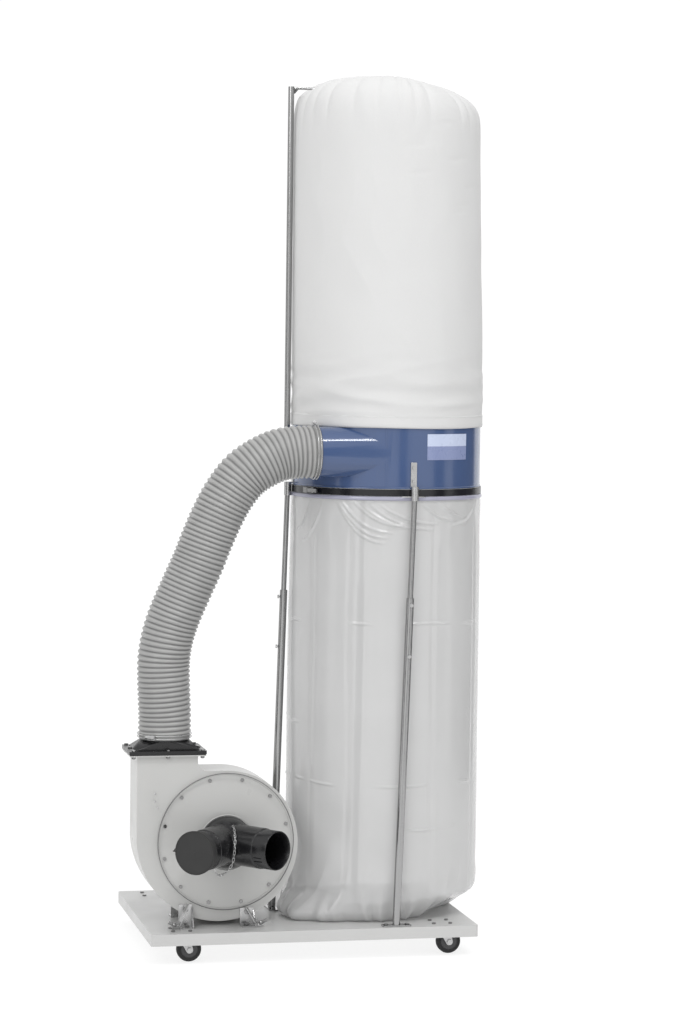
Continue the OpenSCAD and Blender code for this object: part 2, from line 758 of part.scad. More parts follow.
module latch_lever() {
    color(steel) at_latch() {
        translate([5.5, 0, -7.6]) cylinder(r = 1.5, h = 15.2, $fn = 24);
        translate([5.5, 0, -4.8]) cylinder(r = 2.8, h = 9.6, $fn = 24);
        translate([4.5, 0, -4.8]) cube([2, 44, 9.6]);
        translate([4.5, 40, -4.8]) cube([5, 4, 9.6]);
    }
}

// ---- posts and hanger

// draws the children in the frame of post i: +Z runs up its tilted axis from the foot
module in_post(i) {
    run = [post_head[i][0] - post_foot[i][0], post_head[i][1] - post_foot[i][1], head_z - post_z0];
    tilt = acos(run[2] / norm(run));
    turn = atan2(run[1], run[0]);
    translate([post_foot[i][0], post_foot[i][1], post_z0])
        rotate([0, 0, turn]) rotate([0, tilt, 0]) rotate([0, 0, -turn]) children();
}

module at_post_screws() {
    for (i = [0 : 2], h = [post_split - post_z0 - 18, post_split - post_z0 - 150])
        in_post(i) translate([0, 0, h]) rotate([0, 0, post_angle[i]]) rotate([0, 90, 0]) children();
}

module post_tubes_lower() {
    color(steel) difference() {
        for (i = [0 : 2]) union() {
            in_post(i) tube(post_r, post_r - 1.8, post_split - post_z0);
            in_post(i) cylinder(r = post_r, h = 3);
            translate([post_foot[i][0], post_foot[i][1], base_top]) rotate([0, 0, post_foot_turn[i]])
                linear_extrude(foot_t + 0.6) round_rect([76, 26], 4);
        }
        at_post_screws() cylinder(r = 2.6, h = post_r + 5, $fn = 24);
        at_post_foot_bolts() translate([0, 0, foot_t]) cylinder(r = 7, h = 10);
        at_post_foot_bolts() translate([0, 0, -5]) cylinder(r = 3.2, h = 40);
    }
}

module post_tubes_upper() {
    start = post_split - post_z0 - 170;
    color(steel) for (i = [0 : 2]) in_post(i) translate([0, 0, start])
        tube(rod_r, rod_r - 1.5, head_z - post_z0 - 3 - start);
}

module post_bolts() {
    color(steel) {
        at_post_screws() {
            translate([0, 0, rod_r + 0.05]) cylinder(r = 2.5, h = 8, $fn = 24);
            translate([0, 0, post_r + 2]) cylinder(r = 5, h = 4, $fn = 6);
        }
        at_bracket_holes() translate([0, 0, drum_r - 2 - 5]) {
            cylinder(r = 3, h = 12.4, $fn = 24);
            translate([0, 0, 0.2]) cylinder(r = 5.2, h = 4.6, $fn = 6);
            translate([0, 0, 10.3]) cylinder(r = 5.2, h = 3.6, $fn = 6);
        }
    }
}

// sleeve for a post's head under a plate that is bolted to the drum
module post_brackets() {
    r = drum_r + 0.2;
    color(steel) for (a = post_angle) translate([drum_x, base_y, 0]) rotate([0, 0, a]) difference() {
        union() {
            translate([post_head_r, 0, 1180]) cylinder(r = 9.7, h = 36);
            translate([r, -8, 1213]) cube([post_head_r - r, 16, 3]);
            translate([r, -8, 1213]) cube([3, 16, 65]);
        }
        translate([post_head_r, 0, 1170]) cylinder(r = 8.2, h = 43);
        for (z = [1229, 1264]) translate([240, 0, z]) rotate([0, 90, 0])
            cylinder(r = 3.2, h = 30, $fn = 24);
    }
}

module hanger_pole() {
    z0 = 1300;
    color(steel) difference() {
        union() {
            translate([pole_x, base_y, z0]) cylinder(r = pole_r, h = 950);
            translate([drum_x - drum_r - 3.2, base_y - 8, z0]) cube([3, 16, 50]);
            translate([pole_x, base_y - 4, z0]) cube([drum_x - drum_r - 2 - pole_x, 8, 4]);
        }
        translate([pole_x, base_y, z0 + 4]) cylinder(r = pole_r - 1.5, h = 940);
        for (z = [1310, 1340]) {
            translate([drum_x - drum_r - 10, base_y, z]) rotate([0, 90, 0])
                cylinder(r = 3.2, h = 20, $fn = 24);
            translate([drum_x - drum_r - 9.5, base_y, z]) rotate([0, 90, 0])
                cylinder(r = 5.6, h = 6.2, $fn = 24);
        }
        translate([pole_x, base_y, arm_z]) rotate([0, 90, 0]) cylinder(r = arm_r + 0.02, h = 20);
    }
}

module hanger_arm() {
    color(steel) {
        translate([pole_x + pole_r - 1, base_y, arm_z]) rotate([0, 90, 0])
            cylinder(r = arm_r, h = drum_x - pole_x + 14);
        translate([pole_x + pole_r + 0.1, base_y + 1.5, arm_z - 14]) rotate([90, 0, 0])
            linear_extrude(3) polygon([[0, 0], [2, 0], [12, 12], [0, 12]]);
        translate([drum_x + 20, base_y, arm_z]) rotate([0, 90, 0]) cylinder(r = 7, h = 3);
    }
}

// ---- bags

// half outline of the filter bag, drawn in by the inset
function filter_profile(inset) = let (shoulder = 2080, n = 3.5, top = bag_top - shoulder, flat = 82.5)
    concat([[filter_r - inset, hem_z], [filter_r - inset, hem_z + 90], [250 - inset, shoulder - 60]],
        [for (a = [0 : 7.5 : flat])
            [(250 - inset) * pow(cos(a), 2 / n), shoulder + (top - inset) * pow(sin(a), 2 / n)]],
        [[0, shoulder + (top - inset) * pow(sin(flat), 2 / n)]]);

module filter_bag() {
    valley = 2214;
    half = 16;
    slot_end = drum_x + 36;
    color([0.9, 0.9, 0.88]) {
        difference() {
            translate(drum_c) rotate_extrude($fn = 96)
                polygon(concat(filter_profile(0),
                    [for (k = [len(filter_profile(0)) - 1 : -1 : 0]) filter_profile(felt_t)[k]]));
            translate([-60, base_y - half, valley]) cube([slot_end + 60, 2 * half, 200]);
        }
        // walls and floor of the valley that the hanger arm lies in
        intersection() {
            difference() {
                translate([-60, base_y - half - felt_t, valley - felt_t])
                    cube([slot_end + felt_t + 60, 2 * (half + felt_t), 200]);
                translate([-70, base_y - half, valley]) cube([slot_end + 70, 2 * half, 300]);
            }
            translate(drum_c) rotate_extrude($fn = 96)
                polygon(concat(filter_profile(felt_t / 2), [[0, hem_z]]));
        }
        translate([drum_x - 16, base_y, 0]) difference() {
            union() {
                translate([0, 0, arm_z]) rotate([0, 90, 0]) cylinder(r = arm_r + 2.6, h = 24);
                translate([0, -2, valley - 1]) cube([24, 4, arm_z - valley - arm_r + 1]);
            }
            translate([-1, 0, arm_z]) rotate([0, 90, 0]) cylinder(r = arm_r + 0.3, h = 30);
        }
    }
}

module collection_bag() {
    t = 1.5;
    floor_z = base_top + 0.2;
    side = [[251.8, 1212], [251.8, 1189.6], [254, 1186], [253.5, 1177], [256, 1130],
            [collect_r, 1080], [collect_r, 230], [252, 150], [235, 108], [205, floor_z]];
    inside = [for (k = [len(side) - 1 : -1 : 0])
        [side[k][0] - t, k == len(side) - 1 ? floor_z + t : side[k][1]]];
    color([0.85, 0.85, 0.84, 0.6]) translate(drum_c) rotate_extrude($fn = 96)
        polygon(concat([[0, floor_z + t], [0, floor_z]], [for (k = [len(side) - 1 : -1 : 0]) side[k]],
            [for (k = [len(inside) - 1 : -1 : 0]) inside[k]]));
}

base_tray();
caster_plates();
caster_fork(0);  // caster_fork_1
caster_fork(1);  // caster_fork_2
caster_fork(2);  // caster_fork_3
caster_fork(3);  // caster_fork_4
caster_axle(0);  // caster_axle_1
caster_axle(1);  // caster_axle_2
caster_axle(2);  // caster_axle_3
caster_axle(3);  // caster_axle_4
caster_wheel(0);  // caster_wheel_1
caster_wheel(1);  // caster_wheel_2
caster_wheel(2);  // caster_wheel_3
caster_wheel(3);  // caster_wheel_4
caster_bolts();
fan_housing();
fan_cover();
cover_screws();
fan_foot(0);  // fan_foot_left
fan_foot(1);  // fan_foot_right
foot_bolts();
impeller();
motor_shaft();
motor_rotor();
motor_bearings();
motor_stator();
motor_body();
motor_front_shield();
motor_rear_shield();
motor_fan();
motor_cowl();
motor_stand();
switch_box();
switch_lid();
start_button();
stop_button();
cable_gland();
inlet_y_piece();
port_cap();
cap_chain();
outlet_transition();
outlet_gasket();
outlet_bolts();
hose();
hose_clamps();
bag_drum();
deflector_cone();
rating_plate();
clamp_strap();
latch_base();
latch_lever();
post_brackets();
post_tubes_upper();
post_tubes_lower();
post_bolts();
hanger_pole();
hanger_arm();
filter_bag();
collection_bag();
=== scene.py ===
import json
import math

import bpy
import numpy as np
from mathutils import Matrix, Vector, noise


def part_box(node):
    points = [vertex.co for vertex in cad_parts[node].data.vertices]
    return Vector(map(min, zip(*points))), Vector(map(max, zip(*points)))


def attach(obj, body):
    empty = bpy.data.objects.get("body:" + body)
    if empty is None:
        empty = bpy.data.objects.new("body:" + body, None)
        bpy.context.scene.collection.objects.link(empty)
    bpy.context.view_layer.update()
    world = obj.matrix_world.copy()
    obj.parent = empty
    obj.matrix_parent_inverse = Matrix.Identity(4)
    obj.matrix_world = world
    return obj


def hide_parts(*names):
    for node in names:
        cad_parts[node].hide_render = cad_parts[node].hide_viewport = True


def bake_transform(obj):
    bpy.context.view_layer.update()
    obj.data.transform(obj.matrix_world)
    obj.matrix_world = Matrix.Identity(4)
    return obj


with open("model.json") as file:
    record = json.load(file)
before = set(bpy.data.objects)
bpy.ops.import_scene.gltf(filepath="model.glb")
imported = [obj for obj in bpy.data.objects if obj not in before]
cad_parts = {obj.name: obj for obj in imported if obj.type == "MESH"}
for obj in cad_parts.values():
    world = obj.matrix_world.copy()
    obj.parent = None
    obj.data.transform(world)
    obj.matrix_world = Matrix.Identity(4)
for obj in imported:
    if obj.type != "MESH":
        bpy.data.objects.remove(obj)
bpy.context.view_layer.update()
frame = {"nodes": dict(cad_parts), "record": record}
nodes = frame["nodes"]
record = frame["record"]
print("stage: frame loaded,", len(nodes), "nodes")


# camera first: low lens, left of the machine, about chest high

cameraSetup = {
    "place": (-1.556, -7.475, 1.580),
    "right": (0.97658, -0.21474, 0.0135),
    "up": (-0.0008, 0.0591, 0.99825),
    "lens": 102.5,
}


def placeCamera(setup):
    lens = bpy.data.cameras.new("studioCamera")
    lens.lens = setup["lens"]
    lens.clip_end = 200
    camera = bpy.data.objects.new("studioCamera", lens)
    bpy.context.scene.collection.objects.link(camera)
    right = Vector(setup["right"]).normalized()
    up = Vector(setup["up"])
    back = right.cross(up).normalized()
    up = back.cross(right)
    turn = Matrix((right, up, back)).transposed().to_4x4()
    camera.matrix_world = Matrix.Translation(setup["place"]) @ turn
    bpy.context.scene.camera = camera


placeCamera(cameraSetup)


# small node helpers that the finishes share

def newFinish(name, color, rough, metal=0.0):
    mat = bpy.data.materials.new(name)
    mat.use_nodes = True
    shader = mat.node_tree.nodes["Principled BSDF"]
    shader.inputs["Base Color"].default_value = (*color, 1)
    shader.inputs["Roughness"].default_value = rough
    shader.inputs["Metallic"].default_value = metal
    return mat, mat.node_tree, shader


def partSpace(tree, stretch=(1, 1, 1)):
    coords = tree.nodes.new("ShaderNodeTexCoord")
    mapping = tree.nodes.new("ShaderNodeMapping")
    mapping.inputs["Scale"].default_value = stretch
    tree.links.new(coords.outputs["Object"], mapping.inputs["Vector"])
    return mapping.outputs["Vector"]


def speckle(tree, where, scale, detail=3.0, rough=0.5):
    node = tree.nodes.new("ShaderNodeTexNoise")
    node.inputs["Scale"].default_value = scale
    node.inputs["Detail"].default_value = detail
    node.inputs["Roughness"].default_value = rough
    tree.links.new(where, node.inputs["Vector"])
    return node.outputs["Fac"]


def between(tree, factor, low, high, fromLow=0.3, fromHigh=0.7):
    node = tree.nodes.new("ShaderNodeMapRange")
    node.inputs["From Min"].default_value = fromLow
    node.inputs["From Max"].default_value = fromHigh
    node.inputs["To Min"].default_value = low
    node.inputs["To Max"].default_value = high
    tree.links.new(factor, node.inputs["Value"])
    return node.outputs["Result"]


def mixColors(tree, factor, first, second):
    node = tree.nodes.new("ShaderNodeMix")
    node.data_type = "RGBA"
    for socket, value in ((node.inputs[6], first), (node.inputs[7], second)):
        if isinstance(value, bpy.types.NodeSocket):
            tree.links.new(value, socket)
        else:
            socket.default_value = (*value, 1)
    if isinstance(factor, bpy.types.NodeSocket):
        tree.links.new(factor, node.inputs[0])
    else:
        node.inputs[0].default_value = factor
    return node.outputs[2]


def shade(color, amount):
    return tuple(min(1.0, c * amount) for c in color)


def mottle(tree, shader, color, where, scale, spread):
    factor = between(tree, speckle(tree, where, scale, 5), 0, 1)
    tint = mixColors(tree, factor, shade(color, 1 - spread), shade(color, 1 + spread))
    tree.links.new(tint, shader.inputs["Base Color"])
    return tint


def relief(tree, shader, height, depth, strength=1.0):
    bump = tree.nodes.new("ShaderNodeBump")
    bump.inputs["Strength"].default_value = strength
    bump.inputs["Distance"].default_value = depth
    tree.links.new(height, bump.inputs["Height"])
    if shader.inputs["Normal"].is_linked:
        tree.links.new(shader.inputs["Normal"].links[0].from_socket, bump.inputs["Normal"])
    tree.links.new(bump.outputs["Normal"], shader.inputs["Normal"])


def varyGloss(tree, shader, where, scale, low, high):
    gloss = between(tree, speckle(tree, where, scale, 4), low, high)
    tree.links.new(gloss, shader.inputs["Roughness"])


# finishes, in a maker's words

def powderCoat(name, color, rough, coat=0.0):
    mat, tree, shader = newFinish(name, color, rough)
    where = partSpace(tree)
    mottle(tree, shader, color, where, 6, 0.025)
    varyGloss(tree, shader, where, 14, rough - 0.05, rough + 0.06)
    relief(tree, shader, speckle(tree, where, 420, 2), 0.00025, 0.35)
    shader.inputs["Coat Weight"].default_value = coat
    shader.inputs["Coat Roughness"].default_value = 0.12
    return mat


def zincPlate(name, color, rough):
    mat, tree, shader = newFinish(name, color, rough, 0.95)
    where = partSpace(tree)
    mottle(tree, shader, color, where, 45, 0.04)
    varyGloss(tree, shader, where, 40, rough - 0.03, rough + 0.05)
    relief(tree, shader, speckle(tree, where, 140, 2), 0.00002, 0.15)
    return mat


def drawnTube(name, color, rough):
    mat, tree, shader = newFinish(name, color, rough, 0.98)
    along = partSpace(tree, (1, 1, 0.02))
    mottle(tree, shader, color, along, 260, 0.06)
    varyGloss(tree, shader, along, 420, rough - 0.05, rough + 0.07)
    relief(tree, shader, speckle(tree, along, 900, 3), 0.00006, 0.6)
    return mat


def castAlloy(name, color, rough, metal):
    mat, tree, shader = newFinish(name, color, rough, metal)
    where = partSpace(tree)
    mottle(tree, shader, color, where, 30, 0.05)
    varyGloss(tree, shader, where, 50, rough - 0.06, rough + 0.08)
    relief(tree, shader, speckle(tree, where, 700, 2), 0.0003, 0.4)
    return mat


def mouldedPlastic(name, color, rough, grain=0.00012):
    mat, tree, shader = newFinish(name, color, rough)
    where = partSpace(tree)
    mottle(tree, shader, color, where, 18, 0.08)
    varyGloss(tree, shader, where, 22, rough - 0.05, rough + 0.08)
    relief(tree, shader, speckle(tree, where, 1100, 2), grain, 0.5)
    return mat


def needleFelt(name, color):
    mat, tree, shader = newFinish(name, color, 0.92)
    where = partSpace(tree)
    tint = mottle(tree, shader, color, where, 3.5, 0.012)
    fibres = between(tree, speckle(tree, partSpace(tree, (1, 1, 2.2)), 520, 6, 0.7), 0.955, 1.03)
    node = tree.nodes.new("ShaderNodeMix")
    node.data_type = "RGBA"
    node.blend_type = "MULTIPLY"
    node.inputs[0].default_value = 1.0
    tree.links.new(tint, node.inputs[6])
    tree.links.new(fibres, node.inputs[7])
    tree.links.new(node.outputs[2], shader.inputs["Base Color"])
    shader.inputs["Sheen Weight"].default_value = 0.06
    shader.inputs["Sheen Roughness"].default_value = 0.6
    relief(tree, shader, speckle(tree, where, 900, 5, 0.7), 0.0006, 0.45)
    relief(tree, shader, speckle(tree, where, 40, 3), 0.0012, 0.25)
    return mat


def milkyFilm(name, color, alpha):
    mat, tree, shader = newFinish(name, color, 0.2)
    where = partSpace(tree)
    mottle(tree, shader, color, where, 5, 0.03)
    varyGloss(tree, shader, where, 9, 0.11, 0.22)
    relief(tree, shader, speckle(tree, partSpace(tree, (1, 1, 0.22)), 14, 3, 0.5), 0.0020, 0.35)
    shader.inputs["Alpha"].default_value = alpha
    shader.inputs["Specular IOR Level"].default_value = 0.7
    return mat


def hoseVinyl(name, color, valleyShadeColor):
    # ribShade is a value per vertex: 0 in a valley, 1 on a rib; the valleys are mixed towards a darker
    # colour, a painted shade between the ribs
    mat, tree, shader = newFinish(name, color, 0.36)
    where = partSpace(tree)
    tint = mottle(tree, shader, color, where, 25, 0.05)
    ribs = tree.nodes.new("ShaderNodeAttribute")
    ribs.attribute_name = "ribShade"
    valleyShadeMix = mixColors(tree, between(tree, ribs.outputs["Fac"], 0, 1, 0.05, 0.55), valleyShadeColor, tint)
    tree.links.new(valleyShadeMix, shader.inputs["Base Color"])
    varyGloss(tree, shader, where, 30, 0.30, 0.46)
    relief(tree, shader, speckle(tree, where, 500, 3), 0.0002, 0.5)
    return mat


def radiusFrom(tree, centre, axis):
    coords = tree.nodes.new("ShaderNodeTexCoord")
    offset = tree.nodes.new("ShaderNodeVectorMath")
    offset.operation = "SUBTRACT"
    offset.inputs[1].default_value = centre
    flatten = tree.nodes.new("ShaderNodeVectorMath")
    flatten.operation = "MULTIPLY"
    flatten.inputs[1].default_value = tuple(0.0 if k == axis else 1.0 for k in range(3))
    length = tree.nodes.new("ShaderNodeVectorMath")
    length.operation = "LENGTH"
    tree.links.new(coords.outputs["Object"], offset.inputs[0])
    tree.links.new(offset.outputs[0], flatten.inputs[0])
    tree.links.new(flatten.outputs[0], length.inputs[0])
    return length.outputs["Value"]


def wheelFinish(name, centre):
    rubber = (0.009, 0.009, 0.0095)
    hub = (0.05, 0.05, 0.052)
    mat, tree, shader = newFinish(name, rubber, 0.6)
    edge = between(tree, radiusFrom(tree, centre, 1), 0, 1, 0.0215, 0.0222)
    tint = mixColors(tree, edge, hub, rubber)
    tree.links.new(tint, shader.inputs["Base Color"])
    tree.links.new(between(tree, edge, 0.35, 0.68, 0, 1), shader.inputs["Roughness"])
    where = partSpace(tree)
    relief(tree, shader, speckle(tree, where, 600, 3), 0.0003, 0.5)
    return mat


def twoFieldPlate(name, top, bottom, split):
    mat, tree, shader = newFinish(name, top, 0.3)
    coords = tree.nodes.new("ShaderNodeTexCoord")
    parts = tree.nodes.new("ShaderNodeSeparateXYZ")
    tree.links.new(coords.outputs["Object"], parts.inputs[0])
    step = between(tree, parts.outputs["Z"], 0, 1, split - 0.0003, split + 0.0003)
    tree.links.new(mixColors(tree, step, bottom, top), shader.inputs["Base Color"])
    varyGloss(tree, shader, partSpace(tree), 40, 0.22, 0.36)
    return mat


lightGrey = (0.515, 0.515, 0.51)
finishes = {
    "tray_paint": powderCoat("trayPaint", lightGrey, 0.36),
    "fan_paint": powderCoat("fanPaint", (0.49, 0.49, 0.48), 0.32, 0.1),
    "drum_paint": powderCoat("drumPaint", (0.052, 0.088, 0.195), 0.20, 0.45),
    "zinc": zincPlate("zincPlate", (0.50, 0.50, 0.50), 0.27),
    "tube_steel": drawnTube("drawnTube", (0.37, 0.37, 0.37), 0.16),
    "bearing_steel": drawnTube("groundSteel", (0.6, 0.6, 0.61), 0.18),
    "motor_alloy": castAlloy("motorAlloy", (0.26, 0.27, 0.29), 0.42, 0.35),
    "windings": castAlloy("windings", (0.32, 0.17, 0.09), 0.5, 0.5),
    "impeller_paint": powderCoat("impellerPaint", (0.12, 0.13, 0.14), 0.4),
    "black_plastic": mouldedPlastic("blackPlastic", (0.007, 0.007, 0.008), 0.24),
    "cap_plastic": mouldedPlastic("capPlastic", (0.018, 0.018, 0.018), 0.55),
    "box_plastic": mouldedPlastic("boxPlastic", (0.30, 0.30, 0.29), 0.45),
    "green_plastic": mouldedPlastic("greenPlastic", (0.012, 0.22, 0.05), 0.28),
    "red_plastic": mouldedPlastic("redPlastic", (0.45, 0.012, 0.012), 0.28),
    # the hose's second colour is painted shade in the valleys between the ribs
    "hose_pvc": hoseVinyl("hoseVinyl", (0.335, 0.335, 0.33), (0.15, 0.15, 0.15)),
    "strap_black": mouldedPlastic("strapBlack", (0.006, 0.006, 0.009), 0.2),
    "gasket_rubber": mouldedPlastic("gasketRubber", (0.016, 0.016, 0.016), 0.7),
    "plate_foil": twoFieldPlate("plateFoil", (0.50, 0.56, 0.72), (0.22, 0.26, 0.43), 1.3195),
    "felt": needleFelt("needleFelt", (0.605, 0.605, 0.603)),
    "clear_film": milkyFilm("milkyFilm", (0.575, 0.575, 0.575), 0.72),
}
# darker blue-grey rim film: partly the gathered film, partly a painted reflection of the blue drum
rimFilm = milkyFilm("rimFilm", (0.36, 0.36, 0.45), 0.92)
screwZinc = zincPlate("screwZinc", (0.27, 0.27, 0.27), 0.2)
# dark grey for the ring round the fan cover: painted shade of the cover's rolled rim
rimShadeGrey = mouldedPlastic("rimShadeGrey", (0.17, 0.17, 0.17), 0.5)
darkZincNodes = ("cover_screws", "caster_bolts", "outlet_bolts", "foot_bolts",
                 "latch_lever", "latch_base")
print("stage: finishes made,", len(finishes))


# CAD nodes keep their shape and get a rolled edge and their finish

edgeRadius = {
    "base_tray": 0.0018, "fan_housing": 0.0010, "fan_cover": 0.0007, "bag_drum": 0.0006,
    "outlet_transition": 0.0015, "port_cap": 0.0012, "switch_box": 0.002, "switch_lid": 0.0015,
    "stop_button": 0.0015, "start_button": 0.001, "motor_body": 0.0005, "motor_cowl": 0.0012,
}
plainEdge = 0.0004


def dressNode(name, slotName):
    part = nodes[name]
    part.data.materials.clear()
    finish = finishes.get(slotName)
    if slotName == "wheel_rubber":
        low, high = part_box(name)
        finish = wheelFinish("wheel." + name[-1], (low + high) / 2)
    if name in darkZincNodes:
        finish = screwZinc
    part.data.materials.append(finish)
    if part.data.has_custom_normals:
        with bpy.context.temp_override(object=part, active_object=part):
            bpy.ops.mesh.customdata_custom_splitnormals_clear()
    part.data.polygons.foreach_set("use_smooth", [True] * len(part.data.polygons))
    part.data.polygons.foreach_set("material_index", [0] * len(part.data.polygons))
    weld = part.modifiers.new("weld", "WELD")
    weld.merge_threshold = 0.00002
    flats = part.modifiers.new("flats", "DECIMATE")
    flats.decimate_type = "DISSOLVE"
    flats.angle_limit = math.radians(0.4)
    bevel = part.modifiers.new("edge", "BEVEL")
    bevel.width = edgeRadius.get(name, plainEdge)
    bevel.segments = 2
    bevel.limit_method = "ANGLE"
    bevel.angle_limit = math.radians(32)
    bevel.harden_normals = True


for entry in record["subparts"]:
    dressNode(entry["node"], entry["material_slot"])
print("stage: CAD nodes dressed")


# mesh helpers

def turned(axis, degrees):
    return Matrix.Rotation(math.radians(degrees), 4, axis)


def moved(x, y, z):
    return Matrix.Translation((x, y, z))


def circleOf(radius, count, across=0.0, up=0.0):
    # (across, up) pairs round a small circle, for rings of round wire
    angles = [2 * math.pi * k / count for k in range(count)]
    return [(across + radius * math.cos(a), up + radius * math.sin(a)) for a in angles]


def addPiece(name, points, faces, finish, body="root", slotName=None, smooth=True):
    mesh = bpy.data.meshes.new(name)
    mesh.from_pydata([tuple(p) for p in points], [], [tuple(f) for f in faces])
    mesh.validate()
    part = bpy.data.objects.new(name, mesh)
    bpy.context.scene.collection.objects.link(part)
    if smooth:
        mesh.polygons.foreach_set("use_smooth", [True] * len(mesh.polygons))
    mesh.materials.append(finish)
    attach(part, body)
    return part


def ringFaces(rings, sides, closed=False):
    faces = []
    for k in range(rings if closed else rings - 1):
        a = k * sides
        b = ((k + 1) % rings) * sides
        for j in range(sides):
            m = (j + 1) % sides
            faces.append((a + j, a + m, b + m, b + j))
    return faces


def spinProfile(profile, sides, turn=Matrix.Identity(4), closed=True):
    # profile is a list of (radius, height); it is spun about the local z axis
    points = []
    for radius, height in profile:
        for j in range(sides):
            a = 2 * math.pi * j / sides
            points.append(turn @ Vector((radius * math.cos(a), radius * math.sin(a), height)))
    return points, ringFaces(len(profile), sides, closed)


def joined(parts):
    points, faces = [], []
    for p, f in parts:
        start = len(points)
        points.extend(p)
        faces.extend([tuple(i + start for i in face) for face in f])
    return points, faces


def boxAt(size, turn):
    x, y, z = (s / 2 for s in size)
    corners = [(-x, -y, -z), (x, -y, -z), (x, y, -z), (-x, y, -z),
               (-x, -y, z), (x, -y, z), (x, y, z), (-x, y, z)]
    faces = [(3, 2, 1, 0), (4, 5, 6, 7), (0, 1, 5, 4), (1, 2, 6, 5), (2, 3, 7, 6), (3, 0, 4, 7)]
    return [turn @ Vector(c) for c in corners], faces


def roundEdges(part, width, segments=2):
    bevel = part.modifiers.new("edge", "BEVEL")
    bevel.width = width
    bevel.segments = segments
    bevel.limit_method = "ANGLE"
    bevel.harden_normals = True


def alongAxis(origin, direction, spin=0.0):
    quat = Vector(direction).to_track_quat("Z", "Y")
    return Matrix.Translation(origin) @ quat.to_matrix().to_4x4() @ Matrix.Rotation(spin, 4, "Z")


def smoothRoute(route, steps):
    # Catmull-Rom through the route's points
    pts = [Vector(p) for p in route]
    line = []
    for k in range(len(pts) - 1):
        p0, p1, p2, p3 = pts[max(k - 1, 0)], pts[k], pts[k + 1], pts[min(k + 2, len(pts) - 1)]
        for s in range(steps):
            t = s / steps
            line.append(0.5 * (2 * p1 + (p2 - p0) * t + (2 * p0 - 5 * p1 + 4 * p2 - p3) * t * t
                               + (3 * p1 - p0 - 3 * p2 + p3) * t ** 3))
    line.append(pts[-1])
    return line


def evenly(line, count):
    pts = np.array([tuple(p) for p in line])
    runs = np.r_[0, np.cumsum(np.linalg.norm(np.diff(pts, axis=0), axis=1))]
    at = np.linspace(0, runs[-1], count)
    return np.stack([np.interp(at, runs, pts[:, k]) for k in range(3)], 1), float(runs[-1])


def wrinkle(x, y, z):
    return noise.noise(Vector((x, y, z)))


def ridge(x, y, z):
    return 1 - abs(noise.noise(Vector((x, y, z)))) * 2


def fade(value, low, high):
    t = min(1.0, max(0.0, (value - low) / (high - low)))
    return t * t * (3 - 2 * t)


def crease(value, width):
    # a sharp fold line: 1 on the line, 0 away from it
    return max(0.0, 1 - abs(value) / width)


filterLow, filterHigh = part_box("filter_bag")
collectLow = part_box("collection_bag")[0]
drumAxis = Vector(((filterLow.x + filterHigh.x) / 2, (filterLow.y + filterHigh.y) / 2, 0))
strapLow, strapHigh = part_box("clamp_strap")
armLow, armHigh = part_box("hanger_arm")
armZ = (armLow.z + armHigh.z) / 2


def onDrum(r, theta, z):
    return drumAxis.x + r * math.cos(theta), drumAxis.y + r * math.sin(theta), z


# filter bag

filterBagLook = {
    "around": 400,
    "rowHeight": 0.006,
    "hemWrinkle": 0.0040,
    "sideWrinkle": 0.0022,
    "gatherCount": 26,
    "gatherDepth": 0.0050,
    "feltThickness": 0.0022,
    "lean": 0.010,
    "shoulderHeight": 2.095,
    "shoulderPower": 4.2,
    "hemRadius": 0.2535,
    "shoulderRadius": 0.2475,
    "crownSlope": 0.030,
    # direction in degrees, height, and half length in degrees
    "slantCreases": ((-68, 2.150, 14), (-62, 2.115, 12), (-78, 2.095, 16), (-55, 2.060, 12),
                     (-50, 1.940, 10), (-52, 1.926, 9), (-40, 1.99, 12), (-82, 2.02, 8),
                     (60, 2.08, 14), (140, 2.0, 16)),
}


def filterProfile(look):
    # (radius, height) up the side and over the shoulder to the crown
    low, top = filterLow.z, filterHigh.z
    shoulder, power, wide = look["shoulderHeight"], look["shoulderPower"], look["shoulderRadius"]
    count = int((shoulder - low) / look["rowHeight"])
    rows = []
    for k in range(count):
        z = low + (shoulder - low) * k / count
        rows.append((look["hemRadius"] + (wide - look["hemRadius"]) * fade(z, low + 0.05, shoulder), z))
    for k in range(66):
        a = math.radians(90 * k / 65)
        rows.append((wide * max(math.cos(a), 0) ** (2 / power),
                     shoulder + (top - 0.004 - shoulder) * math.sin(a) ** (2 / power)))
    return rows


def filterOffset(theta, z, r, look):
    low = filterLow.z
    cx, sy = math.cos(theta), math.sin(theta)
    broad = 0.0030 * wrinkle(cx * 1.3, sy * 1.3, z * 1.6 + 3)
    side = look["sideWrinkle"] * (ridge(cx * 2.2 + z * 1.4, sy * 2.2, z * 5 + 11) - 0.6)
    side *= fade(z, low + 0.05, low + 0.25)
    # the slack above the hem lies in flat, level creases
    level = ridge(cx * 1.1 + 5, sy * 1.1, z * 21) - 0.55 + 0.5 * wrinkle(cx * 3, sy * 3, z * 40)
    hem = look["hemWrinkle"] * level * fade(z, low + 0.028, low + 0.05)
    hem *= 1 - fade(z, low + 0.10, low + 0.22)
    # gathers that run down from the top seam
    count = look["gatherCount"]
    phase = theta * count / 2 + 2.4 * wrinkle(cx * 2, sy * 2, 7)
    pleat = abs(math.sin(phase)) ** 0.6 - 0.7
    reach = 0.5 + 0.5 * wrinkle(cx * 4, sy * 4, 2)
    gather = look["gatherDepth"] * pleat * fade(z, 2.15 - 0.07 * reach, 2.22) * fade(r, 0.05, 0.20)
    # a few short slanting creases high on the right
    slant = 0.0
    for at, height, length in look["slantCreases"]:
        apart = (math.degrees(theta) - at + 180) % 360 - 180
        line = z - height - 0.0006 * apart + 0.003 * wrinkle(apart * 0.2, height * 30, 1)
        slant -= 0.0016 * crease(line, 0.007) * max(0.0, 1 - (apart / length) ** 2)
    return broad + side + hem + gather + slant


